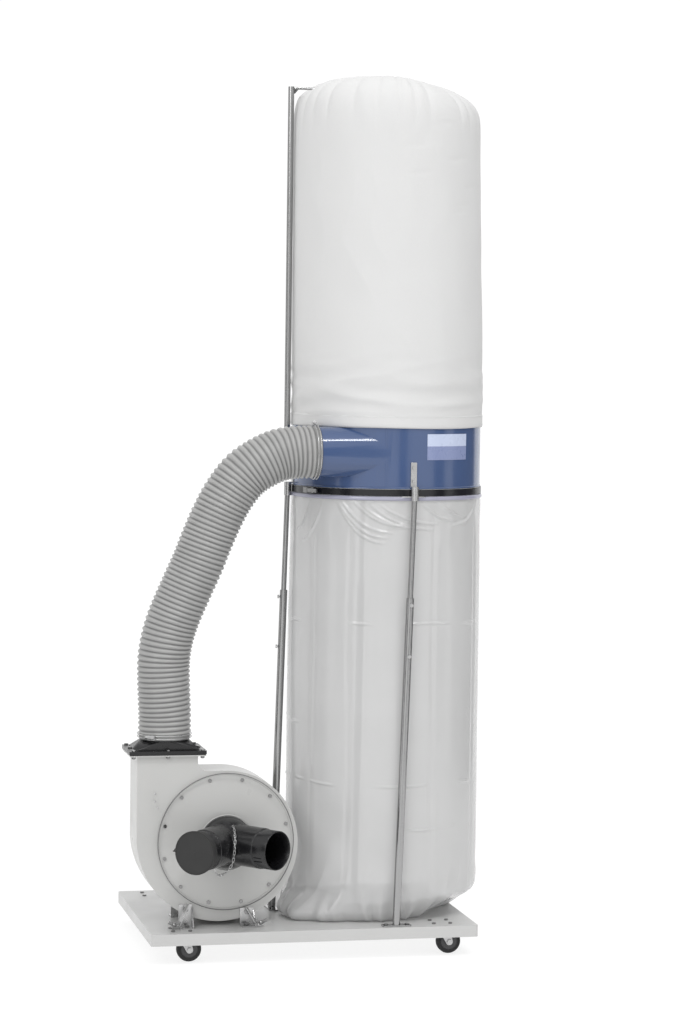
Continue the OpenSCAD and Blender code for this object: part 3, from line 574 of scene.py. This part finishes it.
def makeFilterBag(look):
    around = look["around"]
    profile = filterProfile(look)
    points = []
    for r, z in profile:
        for j in range(around):
            theta = 2 * math.pi * j / around
            push = filterOffset(theta, z, r, look) if r > 0.02 else 0
            rr = max(r + push, 0.0008)
            lift = push * fade(z, 2.16, 2.25) * 0.8
            x = drumAxis.x + rr * math.cos(theta)
            y = drumAxis.y + rr * math.sin(theta)
            x -= look["lean"] * fade(z, 1.45, 2.2)
            # the crown slopes down to the right, highest left of the middle
            toRight = fade(x, drumAxis.x - 0.06, drumAxis.x + 0.24)
            zz = z + lift - look["crownSlope"] * fade(z, 2.12, 2.27) * toRight
            points.append([x, y, zz])
    points = np.array(points)
    # the hanger arm presses a valley into the crown
    side = np.abs(points[:, 1] - drumAxis.y)
    inValley = 1 - np.clip((side - 0.010) / 0.045, 0, 1)
    inValley = inValley * inValley * (3 - 2 * inValley)
    inValley *= np.clip((drumAxis.x + 0.075 - points[:, 0]) / 0.05, 0, 1)
    floor = armZ - 0.0150
    deep = np.clip(points[:, 2] - floor, 0, None)
    points[:, 2] -= deep * inValley
    faces = ringFaces(len(profile), around)
    bag = addPiece("filterBag", points, faces, finishes["felt"], "root", "felt")
    thick = bag.modifiers.new("felt", "SOLIDIFY")
    thick.thickness = look["feltThickness"]
    thick.offset = -1
    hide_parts("filter_bag")
    return bag


def makeHemBand(look):
    # doubled hem with an elastic cord inside
    low = filterLow.z
    around = 240
    rows = [(0.2508, low + 0.001), (0.2535, low - 0.0002), (0.2552, low + 0.004), (0.2545, low + 0.012),
            (0.2542, low + 0.026), (0.2535, low + 0.032), (0.2515, low + 0.033)]
    points = []
    for r, z in rows:
        for j in range(around):
            theta = 2 * math.pi * j / around
            pull = 0.0008 * wrinkle(math.cos(theta) * 9, math.sin(theta) * 9, z * 30)
            sag = 0.0025 * wrinkle(math.cos(theta) * 1.2, math.sin(theta) * 1.2, 4)
            points.append(onDrum(r + pull, theta, z + sag))
    faces = ringFaces(len(rows), around, True)
    return addPiece("filterHem", points, faces, finishes["felt"], "root", "felt")


def makeStitches(name, radius, height, count, finish, slotName):
    thread = [(0.0001, -0.0020), (0.00045, -0.0014), (0.00045, 0.0014), (0.0001, 0.0020)]
    parts = []
    for k in range(count):
        a = 2 * math.pi * k / count
        out = Vector((math.cos(a), math.sin(a), 0))
        tangent = Vector((-out.y, out.x, 0))
        place = drumAxis + out * radius + Vector((0, 0, height))
        parts.append(spinProfile(thread, 6, alongAxis(place, tangent), False))
    points, faces = joined(parts)
    return addPiece(name, points, faces, finish, "root", slotName)


def makeBagLoop():
    # webbing loop that hangs the crown from the arm, with a tail sewn to the felt
    across = drumAxis.x - 0.004
    start = moved(across, drumAxis.y, armZ) @ turned("Y", 90)
    hole = (armHigh.z - armLow.z) / 2 + 0.0003
    outer = [(hole, -0.012), (hole + 0.002, -0.012), (hole + 0.002, 0.012), (hole, 0.012)]
    ring = spinProfile(outer, 32, start)
    tail = boxAt((0.024, 0.003, 0.010), moved(across, drumAxis.y, armZ - 0.0125))
    points, faces = joined([ring, tail])
    loop = addPiece("bagLoop", points, faces, finishes["felt"], "root", "felt")
    roundEdges(loop, 0.0005)
    return loop


filterBag = makeFilterBag(filterBagLook)
filterHem = makeHemBand(filterBagLook)
hemStitches = makeStitches("hemStitches", 0.2545, filterLow.z + 0.028, 250, finishes["felt"], "felt")
bagLoop = makeBagLoop()
print("stage: filter bag made")


# collection bag

collectBagLook = {
    "around": 480,
    "rowHeight": 0.005,
    "fineRow": 0.0018,
    "packCrease": 0.0030,
    "levelDepth": 0.0034,
    "bagTop": 1.182,
    "mostSpread": 0.006,
    "levelCreases": (0.327, 0.440, 0.592, 0.86),
    # direction in degrees and strength
    "uprightCreases": ((210, 0.6), (236, 0.8), (287, 0.5), (325, 0.5), (20, 0.7), (60, 0.7),
                       (110, 0.7), (150, 0.7)),
    # from one direction at the rim to another, and how far it hangs
    "swags": ((227, 257, 0.106), (228, 259, 0.094), (230, 262, 0.080), (238, 268, 0.062),
              (241, 277, 0.068), (246, 287, 0.072), (252, 290, 0.058), (278, 304, 0.050),
              (290, 314, 0.042), (207, 192, 0.080), (217, 199, 0.105), (330, 300, 0.060),
              (20, 60, 0.06), (60, 100, 0.08), (110, 150, 0.07)),
    "swagHeight": 0.0052,
    "earAngle": 209,
    "earReach": 0.075,
    "tuckAngle": 322,
    "tuckDepth": 0.085,
}


def collectRadius(z):
    # side of the bag from the floor of the tray up to the rim
    stations = [(0.0815, 0.212), (0.090, 0.226), (0.105, 0.238), (0.135, 0.249), (0.19, 0.2545),
                (0.30, 0.2555), (0.70, 0.2545), (1.00, 0.2530), (1.10, 0.2525), (1.150, 0.2512),
                (1.180, 0.2508)]
    zs, rs = zip(*stations)
    return float(np.interp(z, zs, rs))


def apartFrom(deg, at):
    return (deg - at + 180) % 360 - 180


def collectOffset(theta, z, look):
    cx, sy = math.cos(theta), math.sin(theta)
    deg = math.degrees(theta) % 360
    broad = 0.0030 * wrinkle(cx * 1.5 + 9, sy * 1.5, z * 1.7)
    upright = 0.0
    for at, weight in look["uprightCreases"]:
        off = apartFrom(deg, at) + 1.2 * wrinkle(at, z * 3, 0)
        upright -= weight * crease(off, 2.0) * (0.6 + 0.6 * wrinkle(at * 1.7, z * 6, 3))
        upright += 0.7 * weight * crease(off - 4, 3.0) * (0.5 + 0.7 * wrinkle(at * 1.7, z * 4, 9))
    level = 0.0
    for at in look["levelCreases"]:
        off = z - at + 0.006 * wrinkle(cx * 2, sy * 2, at * 20)
        level += crease(off, 0.0050) * min(1.0, max(0.0, 3 * wrinkle(cx * 3.1, sy * 3.1, at * 31) - 0.2))
    side = (broad + look["packCrease"] * upright + look["levelDepth"] * level) * (1 - fade(z, 1.10, 1.17))
    # swags: curved folds that hang between two points of the rim
    swags = 0.0
    if z > 1.06:
        for first, last, depth in look["swags"]:
            t = apartFrom(deg, first) / apartFrom(last, first)
            if 0 < t < 1:
                path = 1.176 - depth * (1 - (1 - t) ** 2.2)
                span = 0.2525 * math.radians(abs(apartFrom(last, first)))
                steep = depth * 2.2 * (1 - t) ** 1.2 / span
                off = (z - path + 0.002 * wrinkle(first, t * 3, 2)) / math.sqrt(1 + steep * steep)
                swags += look["swagHeight"] * crease(off, 0.0052) * math.sin(math.pi * t) ** 0.5
    slack = 0.004 * wrinkle(cx * 5, sy * 5, z * 9 + 5) * fade(z, 1.03, 1.10)
    neck = 1 - fade(z, 1.172, 1.180)
    return side + (swags + slack) * neck


def collectFoot(theta, z, look):
    # the slack film at the bottom: an ear spread on the tray and a corner tucked in
    deg = math.degrees(theta) % 360
    cx, sy = math.cos(theta), math.sin(theta)
    foot = 1 - fade(z, 0.086, 0.26)
    fromEar, fromTuck = apartFrom(deg, look["earAngle"]), apartFrom(deg, look["tuckAngle"])
    ear = look["earReach"] * math.exp(-(fromEar / 26) ** 2) * (1 - fade(z, 0.084, 0.165))
    ear += 0.020 * math.exp(-(fromEar / 40) ** 2) * foot
    tuck = look["tuckDepth"] * math.exp(-(fromTuck / 34) ** 2) * (1 - fade(z, 0.082, 0.150))
    folds = 0.007 * (ridge(cx * 5, sy * 5, z * 7) - 0.5) * foot
    folds += 0.004 * math.sin(theta * 31 + 5 * wrinkle(cx * 3, sy * 3, z * 8)) * (1 - fade(z, 0.09, 0.17))
    return ear - tuck + folds + 0.006 * wrinkle(cx * 3, sy * 3, z * 14 + 40) * foot


def makeCollectionBag(look):
    around = look["around"]
    low, high = collectLow.z + 0.0004, look["bagTop"]
    levels = [low]
    while levels[-1] < high - 0.0005:
        z = levels[-1]
        near = z > 1.045 or any(abs(z - at) < 0.018 for at in look["levelCreases"])
        levels.append(min(z + (look["fineRow"] if near else look["rowHeight"]), high))
    points = []
    floorRings = 14
    rim = [collectRadius(low) + collectOffset(2 * math.pi * j / around, low, look)
           + collectFoot(2 * math.pi * j / around, low, look) for j in range(around)]
    for k in range(floorRings):
        share = 0.02 + 0.98 * k / floorRings
        for j in range(around):
            theta = 2 * math.pi * j / around
            r = min(rim[j], 0.30) * share
            points.append(onDrum(r, theta, low))
    for z in levels:
        for j in range(around):
            theta = 2 * math.pi * j / around
            spread = min(collectOffset(theta, z, look), look["mostSpread"])
            r = collectRadius(z) + spread + collectFoot(theta, z, look)
            points.append(onDrum(r, theta, z))
    # the bag's mouth goes up under the strap
    for r, z in ((0.2518, 1.188), (0.2516, 1.200), (0.2516, 1.212)):
        for j in range(around):
            theta = 2 * math.pi * j / around
            points.append(onDrum(r, theta, z))
    faces = ringFaces(floorRings + len(levels) + 3, around)
    bag = addPiece("collectionBag", points, faces, finishes["clear_film"], "root", "clear_film")
    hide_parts("collection_bag")
    return bag


def makeBagRim():
    # rolled mouth of the bag, just under the strap; its darker blue-grey is partly the gathered film and
    # partly a painted reflection of the blue drum above
    around = 300
    profile = [(0.2530, 1.1795), (0.2552, 1.1802), (0.2560, 1.1830), (0.2556, 1.1870),
               (0.2540, 1.1898), (0.2525, 1.1895)]
    points = []
    for r, z in profile:
        for j in range(around):
            theta = 2 * math.pi * j / around
            out = 0.0005 * wrinkle(math.cos(theta) * 14, math.sin(theta) * 14, z * 60)
            lift = 0.0006 * wrinkle(math.cos(theta) * 7, math.sin(theta) * 7, 2)
            points.append(onDrum(r + out, theta, z + lift))
    faces = ringFaces(len(profile), around, True)
    return addPiece("bagRim", points, faces, rimFilm, "root", "clear_film")


collectionBag = makeCollectionBag(collectBagLook)
bagRim = makeBagRim()
print("stage: collection bag made")


# hose

hoseLook = {
    "ribPitch": 0.0128,
    "outer": 0.0685,
    "valley": 0.0638,
    "bore": 0.0632,
    "sides": 72,
    "samplesPerRib": 7,
}
outlet = (-0.383, -0.0912)
hoseRoute = [
    (-0.383, -0.0912, 0.562), (-0.383, -0.0912, 0.592), (-0.383, -0.0912, 0.622), (-0.385, -0.092, 0.668),
    (-0.387, -0.093, 0.716), (-0.387, -0.094, 0.764), (-0.381, -0.097, 0.812), (-0.369, -0.100, 0.858),
    (-0.351, -0.104, 0.906), (-0.329, -0.108, 0.958), (-0.304, -0.112, 1.016), (-0.281, -0.116, 1.076),
    (-0.257, -0.121, 1.134), (-0.228, -0.126, 1.190), (-0.190, -0.130, 1.240), (-0.146, -0.132, 1.272),
    (-0.102, -0.1305, 1.292), (-0.064, -0.1297, 1.2995), (-0.028, -0.1297, 1.301),
    (0.003, -0.1297, 1.301)]


def makeHose(look):
    line, length = evenly(smoothRoute(hoseRoute, 24), 400)
    count = int(length / look["ribPitch"] * look["samplesPerRib"])
    line, length = evenly(line, count)
    sides = look["sides"]
    outside, inside, shades = [], [], []
    for k in range(count):
        ahead = Vector(line[min(k + 1, count - 1)] - line[max(k - 1, 0)]).normalized()
        if k == 0:
            ahead = Vector((0, 0, 1))
        if k == count - 1:
            ahead = Vector((1, 0, 0))
        side = ahead.cross(Vector((0, 1, 0))).normalized()
        up = side.cross(ahead)
        along = length * k / (count - 1)
        cuff = min(fade(along, 0.010, 0.016), fade(length - along, 0.010, 0.016))
        for j in range(sides):
            a = 2 * math.pi * j / sides
            turn = along / look["ribPitch"] + j / sides
            rib = (0.5 + 0.5 * math.cos(2 * math.pi * turn)) ** 0.8
            rib = rib * cuff + 0.45 * (1 - cuff)
            r = look["valley"] + (look["outer"] - look["valley"]) * rib
            out = math.cos(a) * side + math.sin(a) * up
            centre = Vector(line[k])
            outside.append(centre + r * out)
            shades.append(rib)
            inside.append(centre + look["bore"] * out)
    walls = ringFaces(count, sides)
    start = len(outside)
    bores = [tuple(reversed([i + start for i in f])) for f in walls]
    last = (count - 1) * sides
    ends = []
    for j in range(sides):
        m = (j + 1) % sides
        ends.append((m, j, j + start, m + start))
        ends.append((last + j, last + m, last + m + start, last + j + start))
    points, faces = outside + inside, walls + bores + ends
    hose = addPiece("ribbedHose", points, faces, finishes["hose_pvc"], "root", "hose_pvc")
    # the rib values steer the painted shade that darkens the valleys
    ribShade = hose.data.attributes.new("ribShade", "FLOAT", "POINT")
    ribShade.data.foreach_set("value", shades + [0.0] * len(inside))
    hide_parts("hose")
    return hose


def makeBandClamp(name, place):
    # two wires and a block that a screw draws together
    wires = []
    for height in (0.0022, 0.0098):
        wires.append(spinProfile(circleOf(0.0014, 10, 0.0698, height), 96, place))
    saddle = place @ moved(0.0735, 0, 0.006)
    housing = boxAt((0.0075, 0.020, 0.0125), saddle)
    screwLine = saddle @ moved(0.0012, 0, 0) @ turned("X", 90)
    cover = spinProfile([(0.001, -0.009), (0.0052, -0.009), (0.0052, 0.009), (0.001, 0.009)], 20,
                        screwLine, False)
    head = spinProfile([(0.0005, 0.009), (0.0046, 0.009), (0.0046, 0.0165), (0.0038, 0.0172),
                        (0.0005, 0.0172)], 6, screwLine, False)
    points, faces = joined(wires + [housing, cover, head])
    clamp = addPiece(name, points, faces, finishes["zinc"], "root", "zinc")
    clamp.data.set_sharp_from_angle(angle=math.radians(40))
    roundEdges(clamp, 0.0004)
    return clamp


hose = makeHose(hoseLook)
lowerClamp = makeBandClamp("hoseClampLower", moved(outlet[0], outlet[1], 0.564) @ turned("Z", -125))
makeBandClamp("hoseClampUpper", moved(0.0015, -0.1297, 1.301) @ turned("Y", -90) @ turned("Z", 15))
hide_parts("hose_clamps")
print("stage: hose and clamps made")


# inlet: one moulded body with two ports

inletLook = {
    "voxel": 0.0026,
    "smoothing": 7,
    "collarRadius": 0.0680,
    "ballRadius": 0.0665,
    "portRadius": 0.0500,
    "portBore": 0.0470,
    "sleeveRadius": 0.0522,
    "sleeveEnd": 0.128,
    "portEnd": 0.171,
    "portAngle": 38,
}
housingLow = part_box("fan_housing")[0]
coverLow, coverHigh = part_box("fan_cover")
fanAxis = Vector(((coverLow.x + coverHigh.x) / 2, 0, (coverLow.z + coverHigh.z) / 2))
faceY = coverHigh.y - 0.0025
branch = Vector((fanAxis.x, coverHigh.y - 0.029, fanAxis.z))


def portTurn(side):
    a = math.radians(inletLook["portAngle"])
    return alongAxis(branch, (side * math.sin(a), -math.cos(a), 0))


def solidSpin(profile, sides, turn):
    # closed at both ends with a small hole filled by a fan
    points, faces = spinProfile(profile, sides, turn, False)
    faces = list(faces)
    faces.append(tuple(reversed(range(sides))))
    faces.append(tuple(range(len(points) - sides, len(points))))
    return points, faces


def tempObject(name, points, faces):
    mesh = bpy.data.meshes.new(name)
    mesh.from_pydata([tuple(p) for p in points], [], faces)
    part = bpy.data.objects.new(name, mesh)
    bpy.context.scene.collection.objects.link(part)
    return part


def evaluatedMesh(part):
    bpy.context.view_layer.update()
    graph = bpy.context.evaluated_depsgraph_get()
    return bpy.data.meshes.new_from_object(part.evaluated_get(graph))


def makeInletBody(look):
    front = moved(fanAxis.x, 0, fanAxis.z) @ turned("X", 90)
    wide, ballRadius = look["collarRadius"], look["ballRadius"]
    collar = solidSpin([(wide, -faceY + 0.0004), (wide, -branch.y + 0.004)], 64, front)
    ball = []
    for k in range(1, 24):
        a = math.pi * k / 24
        ball.append((ballRadius * math.sin(a), -ballRadius * math.cos(a)))
    dome = solidSpin(ball, 64, Matrix.Translation(branch) @ turned("X", 90))
    sleeve = [(look["sleeveRadius"], 0.0), (look["sleeveRadius"], look["sleeveEnd"])]
    sleeves = [solidSpin(sleeve, 64, portTurn(s)) for s in (-1, 1)]
    rough = tempObject("inletRough", *joined([collar, dome] + sleeves))
    remesh = rough.modifiers.new("remesh", "REMESH")
    remesh.mode = "VOXEL"
    remesh.voxel_size = look["voxel"]
    smooth = rough.modifiers.new("smooth", "SMOOTH")
    smooth.factor = 0.5
    smooth.iterations = look["smoothing"]
    rough.data = evaluatedMesh(rough)
    rough.modifiers.clear()
    bore = [(look["portBore"], 0.002), (look["portBore"], 0.2)]
    bores = [solidSpin(bore, 64, portTurn(s)) for s in (-1, 1)]
    cutters = [tempObject("inletCut", *b) for b in bores]
    behind = boxAt((0.3, 0.1, 0.3), moved(fanAxis.x, faceY + 0.05, fanAxis.z))
    cutters.append(tempObject("inletCut", *behind))
    for cutter in cutters:
        cut = rough.modifiers.new("cut", "BOOLEAN")
        cut.operation = "DIFFERENCE"
        cut.solver = "EXACT"
        cut.object = cutter
    mesh = evaluatedMesh(rough)
    mesh.name = "inletBody"
    for part in cutters + [rough]:
        bpy.data.objects.remove(part)
    body = bpy.data.objects.new("inletBody", mesh)
    bpy.context.scene.collection.objects.link(body)
    mesh.materials.clear()
    mesh.materials.append(finishes["black_plastic"])
    mesh.polygons.foreach_set("use_smooth", [True] * len(mesh.polygons))
    mesh.polygons.foreach_set("material_index", [0] * len(mesh.polygons))
    mesh.set_sharp_from_angle(angle=math.radians(40))
    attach(body, "root")
    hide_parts("inlet_y_piece")
    return body


def makePortTube(name, side):
    look = inletLook
    outer, bore = look["portRadius"], look["portBore"]
    end = look["portEnd"]
    start = look["sleeveEnd"] - 0.012
    profile = [(bore, start), (outer, start), (outer, end - 0.0012), (outer - 0.0006, end - 0.0002),
               (outer - 0.0016, end), (bore + 0.0008, end - 0.0003), (bore, end - 0.0012)]
    points, faces = spinProfile(profile, 96, portTurn(side))
    tube = addPiece(name, points, faces, finishes["black_plastic"], "root", "black_plastic")
    tube.data.set_sharp_from_angle(angle=math.radians(50))
    return tube


def makePortRibs():
    # short moulded ribs on the open port's sleeve
    parts = []
    turn = portTurn(1)
    for k in (-1, 1):
        parts.append(boxAt((0.0030, 0.0018, 0.026),
                           turn @ turned("Z", 205 + 6 * k)
                           @ moved(0.0508, 0, 0.143)))
    points, faces = joined(parts)
    ribs = addPiece("portRibs", points, faces, finishes["black_plastic"], "root", "black_plastic", False)
    roundEdges(ribs, 0.0006)
    return ribs


chainRoute = [(-0.226, -0.228, 0.3525), (-0.2265, -0.259, 0.337), (-0.229, -0.2765, 0.304),
              (-0.235, -0.280, 0.266), (-0.250, -0.285, 0.246), (-0.268, -0.304, 0.240),
              (-0.284, -0.328, 0.247), (-0.293, -0.342, 0.262)]
chainLook = {"wire": 0.00085, "linkLength": 0.0128, "linkWidth": 0.0066}


def chainLink(turn, look):
    # stadium-shaped ring of round wire in the local x-z plane, long along z
    straight = look["linkLength"] / 2 - look["linkWidth"] / 2
    bend = look["linkWidth"] / 2 - look["wire"]
    loop = []
    for k in range(20):
        a = 2 * math.pi * k / 20
        half = math.copysign(straight, math.sin(a + 1e-6))
        loop.append((Vector((bend * math.cos(a), 0, bend * math.sin(a) + half)),
                     Vector((math.cos(a), 0, math.sin(a)))))
    points = []
    sideways = Vector((0, 1, 0))
    for centre, out in loop:
        for m in range(8):
            b = 2 * math.pi * m / 8
            points.append(turn @ (centre + look["wire"] * (math.cos(b) * out + math.sin(b) * sideways)))
    return points, ringFaces(20, 8, True)


def makeChain(look):
    pitch = look["linkLength"] - 2.3 * look["wire"] * 2
    line, length = evenly(smoothRoute(chainRoute, 20), 300)
    count = int(length / pitch)
    centres, _ = evenly(line, count + 1)
    parts = []
    for k in range(count):
        here, there = Vector(centres[k]), Vector(centres[k + 1])
        turn = alongAxis((here + there) / 2, there - here, math.radians(90 * (k % 2) + 25))
        parts.append(chainLink(turn, look))
    points, faces = joined(parts)
    mesh = bpy.data.meshes.new("capChain")
    mesh.from_pydata([tuple(p) for p in points], [], faces)
    mesh.polygons.foreach_set("use_smooth", [True] * len(mesh.polygons))
    mesh.materials.append(finishes["zinc"])
    chain = bpy.data.objects.new("capChain", mesh)
    bpy.context.scene.collection.objects.link(chain)
    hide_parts("cap_chain")
    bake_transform(chain)
    return chain


def makeCapDetails():
    turn = portTurn(-1)
    end = inletLook["portEnd"] + 0.0044
    pin = spinProfile([(0.0001, end + 0.0009), (0.0022, end + 0.0008), (0.0030, end + 0.0001),
                       (0.0030, end - 0.0006), (0.0001, end - 0.0006)], 32, turn, False)
    bead = spinProfile([(0.0520, end + 0.0001), (0.0529, end + 0.0007), (0.0538, end + 0.0001),
                        (0.0529, end - 0.0004)], 128, turn)
    eye = circleOf(0.0011, 10, 0.0034)
    # the eye stands on the edge that points away from the inlet
    eyeTurn = turn @ moved(0, 0, end - 0.006) @ turned("Z", 178)
    sideways = eyeTurn.to_3x3() @ Vector((1, 0, 0))
    if sideways.x > 0:
        eyeTurn = eyeTurn @ turned("Z", 180)
    ring = spinProfile(eye, 28, eyeTurn @ moved(0.0570, 0, 0))
    points, faces = joined([pin, bead, ring])
    return addPiece("capMouldMarks", points, faces, finishes["cap_plastic"], "cap", "cap_plastic")


inletBody = makeInletBody(inletLook)
makePortTube("portTubeLeft", -1)
makePortTube("portTubeRight", 1)
makePortRibs()
makeChain(chainLook)
makeCapDetails()
print("stage: inlet, ports and chain made")


# trims on the drum and the fan

def makeDrumTrims():
    z = strapHigh.z + 0.0030
    bead = [(0.2500 + 0.0024 * max(0.0, math.cos(a)), z + 0.0028 * math.sin(a)) for a in
            [math.radians(d) for d in range(-90, 91, 30)]]
    bead.append((0.2493, z + 0.0028))
    bead.append((0.2493, z - 0.0028))
    shift = moved(drumAxis.x, drumAxis.y, 0)
    points, faces = spinProfile(bead, 180, shift)
    addPiece("drumBead", points, faces, finishes["drum_paint"], "root", "drum_paint")
    seamTurn = shift @ turned("Z", -103)
    seam = boxAt((0.0012, 0.0045, filterLow.z - z - 0.004),
                 seamTurn @ moved(0.2501, 0, (filterLow.z + z) / 2))
    part = addPiece("drumSeam", *seam, finishes["drum_paint"], "root", "drum_paint", False)
    roundEdges(part, 0.0005, 3)


def makeHousingRivets():
    angles = [math.radians(d) for d in range(0, 90, 18)]
    dome = [(0.0030 * math.cos(a), 0.0016 * math.sin(a)) for a in angles]
    parts = []
    for dx, dz in ((-0.185, 0.128), (-0.185, 0.108), (-0.178, 0.092)):
        turn = moved(fanAxis.x + dx, housingLow.y, fanAxis.z + dz) @ turned("X", 90)
        parts.append(spinProfile([(0.0030, -0.0003)] + dome + [(0.0001, 0.0016)], 20, turn, False))
    points, faces = joined(parts)
    addPiece("housingRivets", points, faces, finishes["zinc"], "root", "zinc")


coverTrimLook = {
    "shadeLineWidth": 0.0016,
    "shadeLineProud": 0.0026,
    "lipRadius": 0.0700,
    "lipWidth": 0.0022,
    "lipProud": 0.0040,
}


def makeCoverTrims(look):
    # a dark grey ring round the cover's edge, painted shade for the dark line under the cover's rolled
    # rim, and the lip pressed out round the inlet's collar
    front = moved(fanAxis.x, housingLow.y, fanAxis.z) @ turned("X", 90)
    edge = (coverHigh.x - coverLow.x) / 2
    proud, wide = look["shadeLineProud"], look["shadeLineWidth"]
    shadeLine = [(edge - 0.0005, 0.0), (edge + wide, 0.0), (edge + wide, proud - 0.0006),
              (edge + wide - 0.0006, proud), (edge - 0.0005, proud)]
    addPiece("coverRimShade", *spinProfile(shadeLine, 160, front), rimShadeGrey, "root", "gasket_rubber")
    lipIn, lipOut = look["lipRadius"], look["lipRadius"] + look["lipWidth"]
    base = housingLow.y - coverLow.y - 0.0010
    tall = base + look["lipProud"]
    lip = [(lipIn, base), (lipOut, base), (lipOut, tall - 0.0008), ((lipIn + lipOut) / 2, tall),
           (lipIn, tall - 0.0008)]
    part = addPiece("coverLip", *spinProfile(lip, 128, front), finishes["fan_paint"], "root", "fan_paint")
    part.data.set_sharp_from_angle(angle=math.radians(60))


footTrimLook = {
    "strapWidth": 0.012,
    "strapThick": 0.0025,
}


def makeFootTrims(look):
    # slanting tie from the scroll to the tray and the wing bolt that tightens it
    hub = [(0.0001, 0.0), (0.0052, 0.0), (0.0052, 0.006), (0.0036, 0.010), (0.0001, 0.0105)]
    tie, wings = [], []
    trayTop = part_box("base_tray")[1].z
    for node, lean in (("fan_foot_left", -1), ("fan_foot_right", 1)):
        low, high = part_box(node)
        top = Vector(((low.x + high.x) / 2 + lean * -0.004, housingLow.y - 0.0075, high.z + 0.004))
        foot = Vector((top.x + lean * 0.026, housingLow.y - 0.020, trayTop + 0.006))
        mid = (top + foot) / 2
        turn = alongAxis(mid, top - foot)
        tie.append(boxAt((look["strapWidth"], look["strapThick"], (top - foot).length), turn))
        tie.append(boxAt((0.024, 0.016, 0.0025), moved(foot.x + lean * 0.006, foot.y, trayTop + 0.0046)))
        boltX = foot.x + lean * 0.011
        wings.append(spinProfile(hub, 20, moved(boltX, foot.y, trayTop + 0.0058), False))
        for side in (-1, 1):
            blade = moved(boltX + side * 0.009, foot.y, trayTop + 0.0145) @ turned("Y", side * -24)
            wings.append(boxAt((0.014, 0.0026, 0.008), blade))
    ties = addPiece("footTies", *joined(tie), finishes["zinc"], "root", "zinc", False)
    roundEdges(ties, 0.0006)
    bolts = addPiece("wingBolts", *joined(wings), screwZinc, "root", "zinc", False)
    roundEdges(bolts, 0.0007, 3)


def makeStrapToggle():
    # wire toggle that draws the strap tight, behind the front post
    angle = math.radians(-86.9)
    out = Vector((math.cos(angle), math.sin(angle), 0))
    place = drumAxis + out * 0.2592 + Vector((0, 0, strapLow.z - 0.0015))
    along = Vector((-out.y, out.x, 0))
    rod = [(0.0001, -0.032), (0.0014, -0.0315), (0.0016, 0.0), (0.0014, 0.0315), (0.0001, 0.032)]
    points, faces = spinProfile(rod, 16, alongAxis(place, along), False)
    addPiece("strapToggle", points, faces, finishes["zinc"], "root", "zinc")


makeDrumTrims()
makeHousingRivets()
makeCoverTrims(coverTrimLook)
makeFootTrims(footTrimLook)
makeStrapToggle()
print("stage: trims made")


# studio: pale floor, soft light, dark cards that give the steel something to mirror

studioLook = {
    "floorSize": 60,
    "world": 1.03,
    "floorGlow": 0.72,
    "keyPower": 95,
    "stripPower": 120,
}


def floorFinish(look):
    # mostly its own glow, so that only a faint shadow shows under the tray
    mat, tree, shader = newFinish("studioFloor", (0.96, 0.96, 0.96), 0.8)
    shader.inputs["Specular IOR Level"].default_value = 0.1
    glow = tree.nodes.new("ShaderNodeEmission")
    glow.inputs["Color"].default_value = (1, 1, 1, 1)
    glow.inputs["Strength"].default_value = look["world"] * 1.06
    blend = tree.nodes.new("ShaderNodeMixShader")
    blend.inputs[0].default_value = look["floorGlow"]
    tree.links.new(shader.outputs[0], blend.inputs[1])
    tree.links.new(glow.outputs[0], blend.inputs[2])
    tree.links.new(blend.outputs[0], tree.nodes["Material Output"].inputs["Surface"])
    return mat


def addLight(name, place, aim, size, power):
    lamp = bpy.data.lights.new(name, "AREA")
    lamp.shape = "RECTANGLE"
    lamp.size, lamp.size_y = size
    lamp.energy = power
    obj = bpy.data.objects.new(name, lamp)
    bpy.context.scene.collection.objects.link(obj)
    obj.location = place
    obj.rotation_euler = (Vector(aim) - Vector(place)).to_track_quat("-Z", "Y").to_euler()


def flatSheet(name, w, h):
    mesh = bpy.data.meshes.new(name)
    mesh.from_pydata([(-w, -h, 0), (w, -h, 0), (w, h, 0), (-w, h, 0)], [], [(0, 1, 2, 3)])
    return mesh


def addCard(name, place, aim, size, tone):
    mesh = flatSheet(name, size[0] / 2, size[1] / 2)
    mat, tree, shader = newFinish(name, (tone, tone, tone), 0.9)
    mesh.materials.append(mat)
    card = bpy.data.objects.new(name, mesh)
    bpy.context.scene.collection.objects.link(card)
    card.location = place
    card.rotation_euler = (Vector(aim) - Vector(place)).to_track_quat("Z", "Y").to_euler()
    card.visible_camera = False
    card.visible_shadow = False


def makeStudio(look):
    mesh = flatSheet("studioFloor", look["floorSize"], look["floorSize"])
    mesh.materials.append(floorFinish(look))
    floor = bpy.data.objects.new("studioFloor", mesh)
    bpy.context.scene.collection.objects.link(floor)
    world = bpy.data.worlds.new("studioWorld")
    world.use_nodes = True
    sky = world.node_tree.nodes["Background"]
    sky.inputs["Color"].default_value = (1, 1, 1, 1)
    sky.inputs["Strength"].default_value = look["world"]
    bpy.context.scene.world = world
    addLight("keyLight", (-4.5, -4.5, 4.2), (0, 0, 1.1), (2.5, 3.5), look["keyPower"])
    addLight("stripLight", (1.4, -3.4, 6.4), (0, 0, 1.2), (3.2, 0.30), look["stripPower"])
    addCard("darkCardRight", (3.2, 0.4, 1.3), (0, 0, 1.3), (2.6, 3.6), 0.10)
    addCard("darkCardFront", (0.9, -5.2, 1.3), (0, 0, 1.3), (0.9, 4.0), 0.03)
    addCard("darkCardFrontLeft", (-4.6, -2.6, 1.3), (0, 0, 1.3), (1.5, 4.0), 0.03)
    addCard("darkCardFrontRight", (4.4, -3.0, 1.3), (0, 0, 1.3), (1.4, 4.0), 0.05)
    addCard("darkCardLeft", (-3.4, 0.9, 1.3), (0, 0, 1.3), (1.0, 3.6), 0.05)
    bpy.context.scene.view_settings.view_transform = "Standard"


makeStudio(studioLook)
print("stage: studio made")
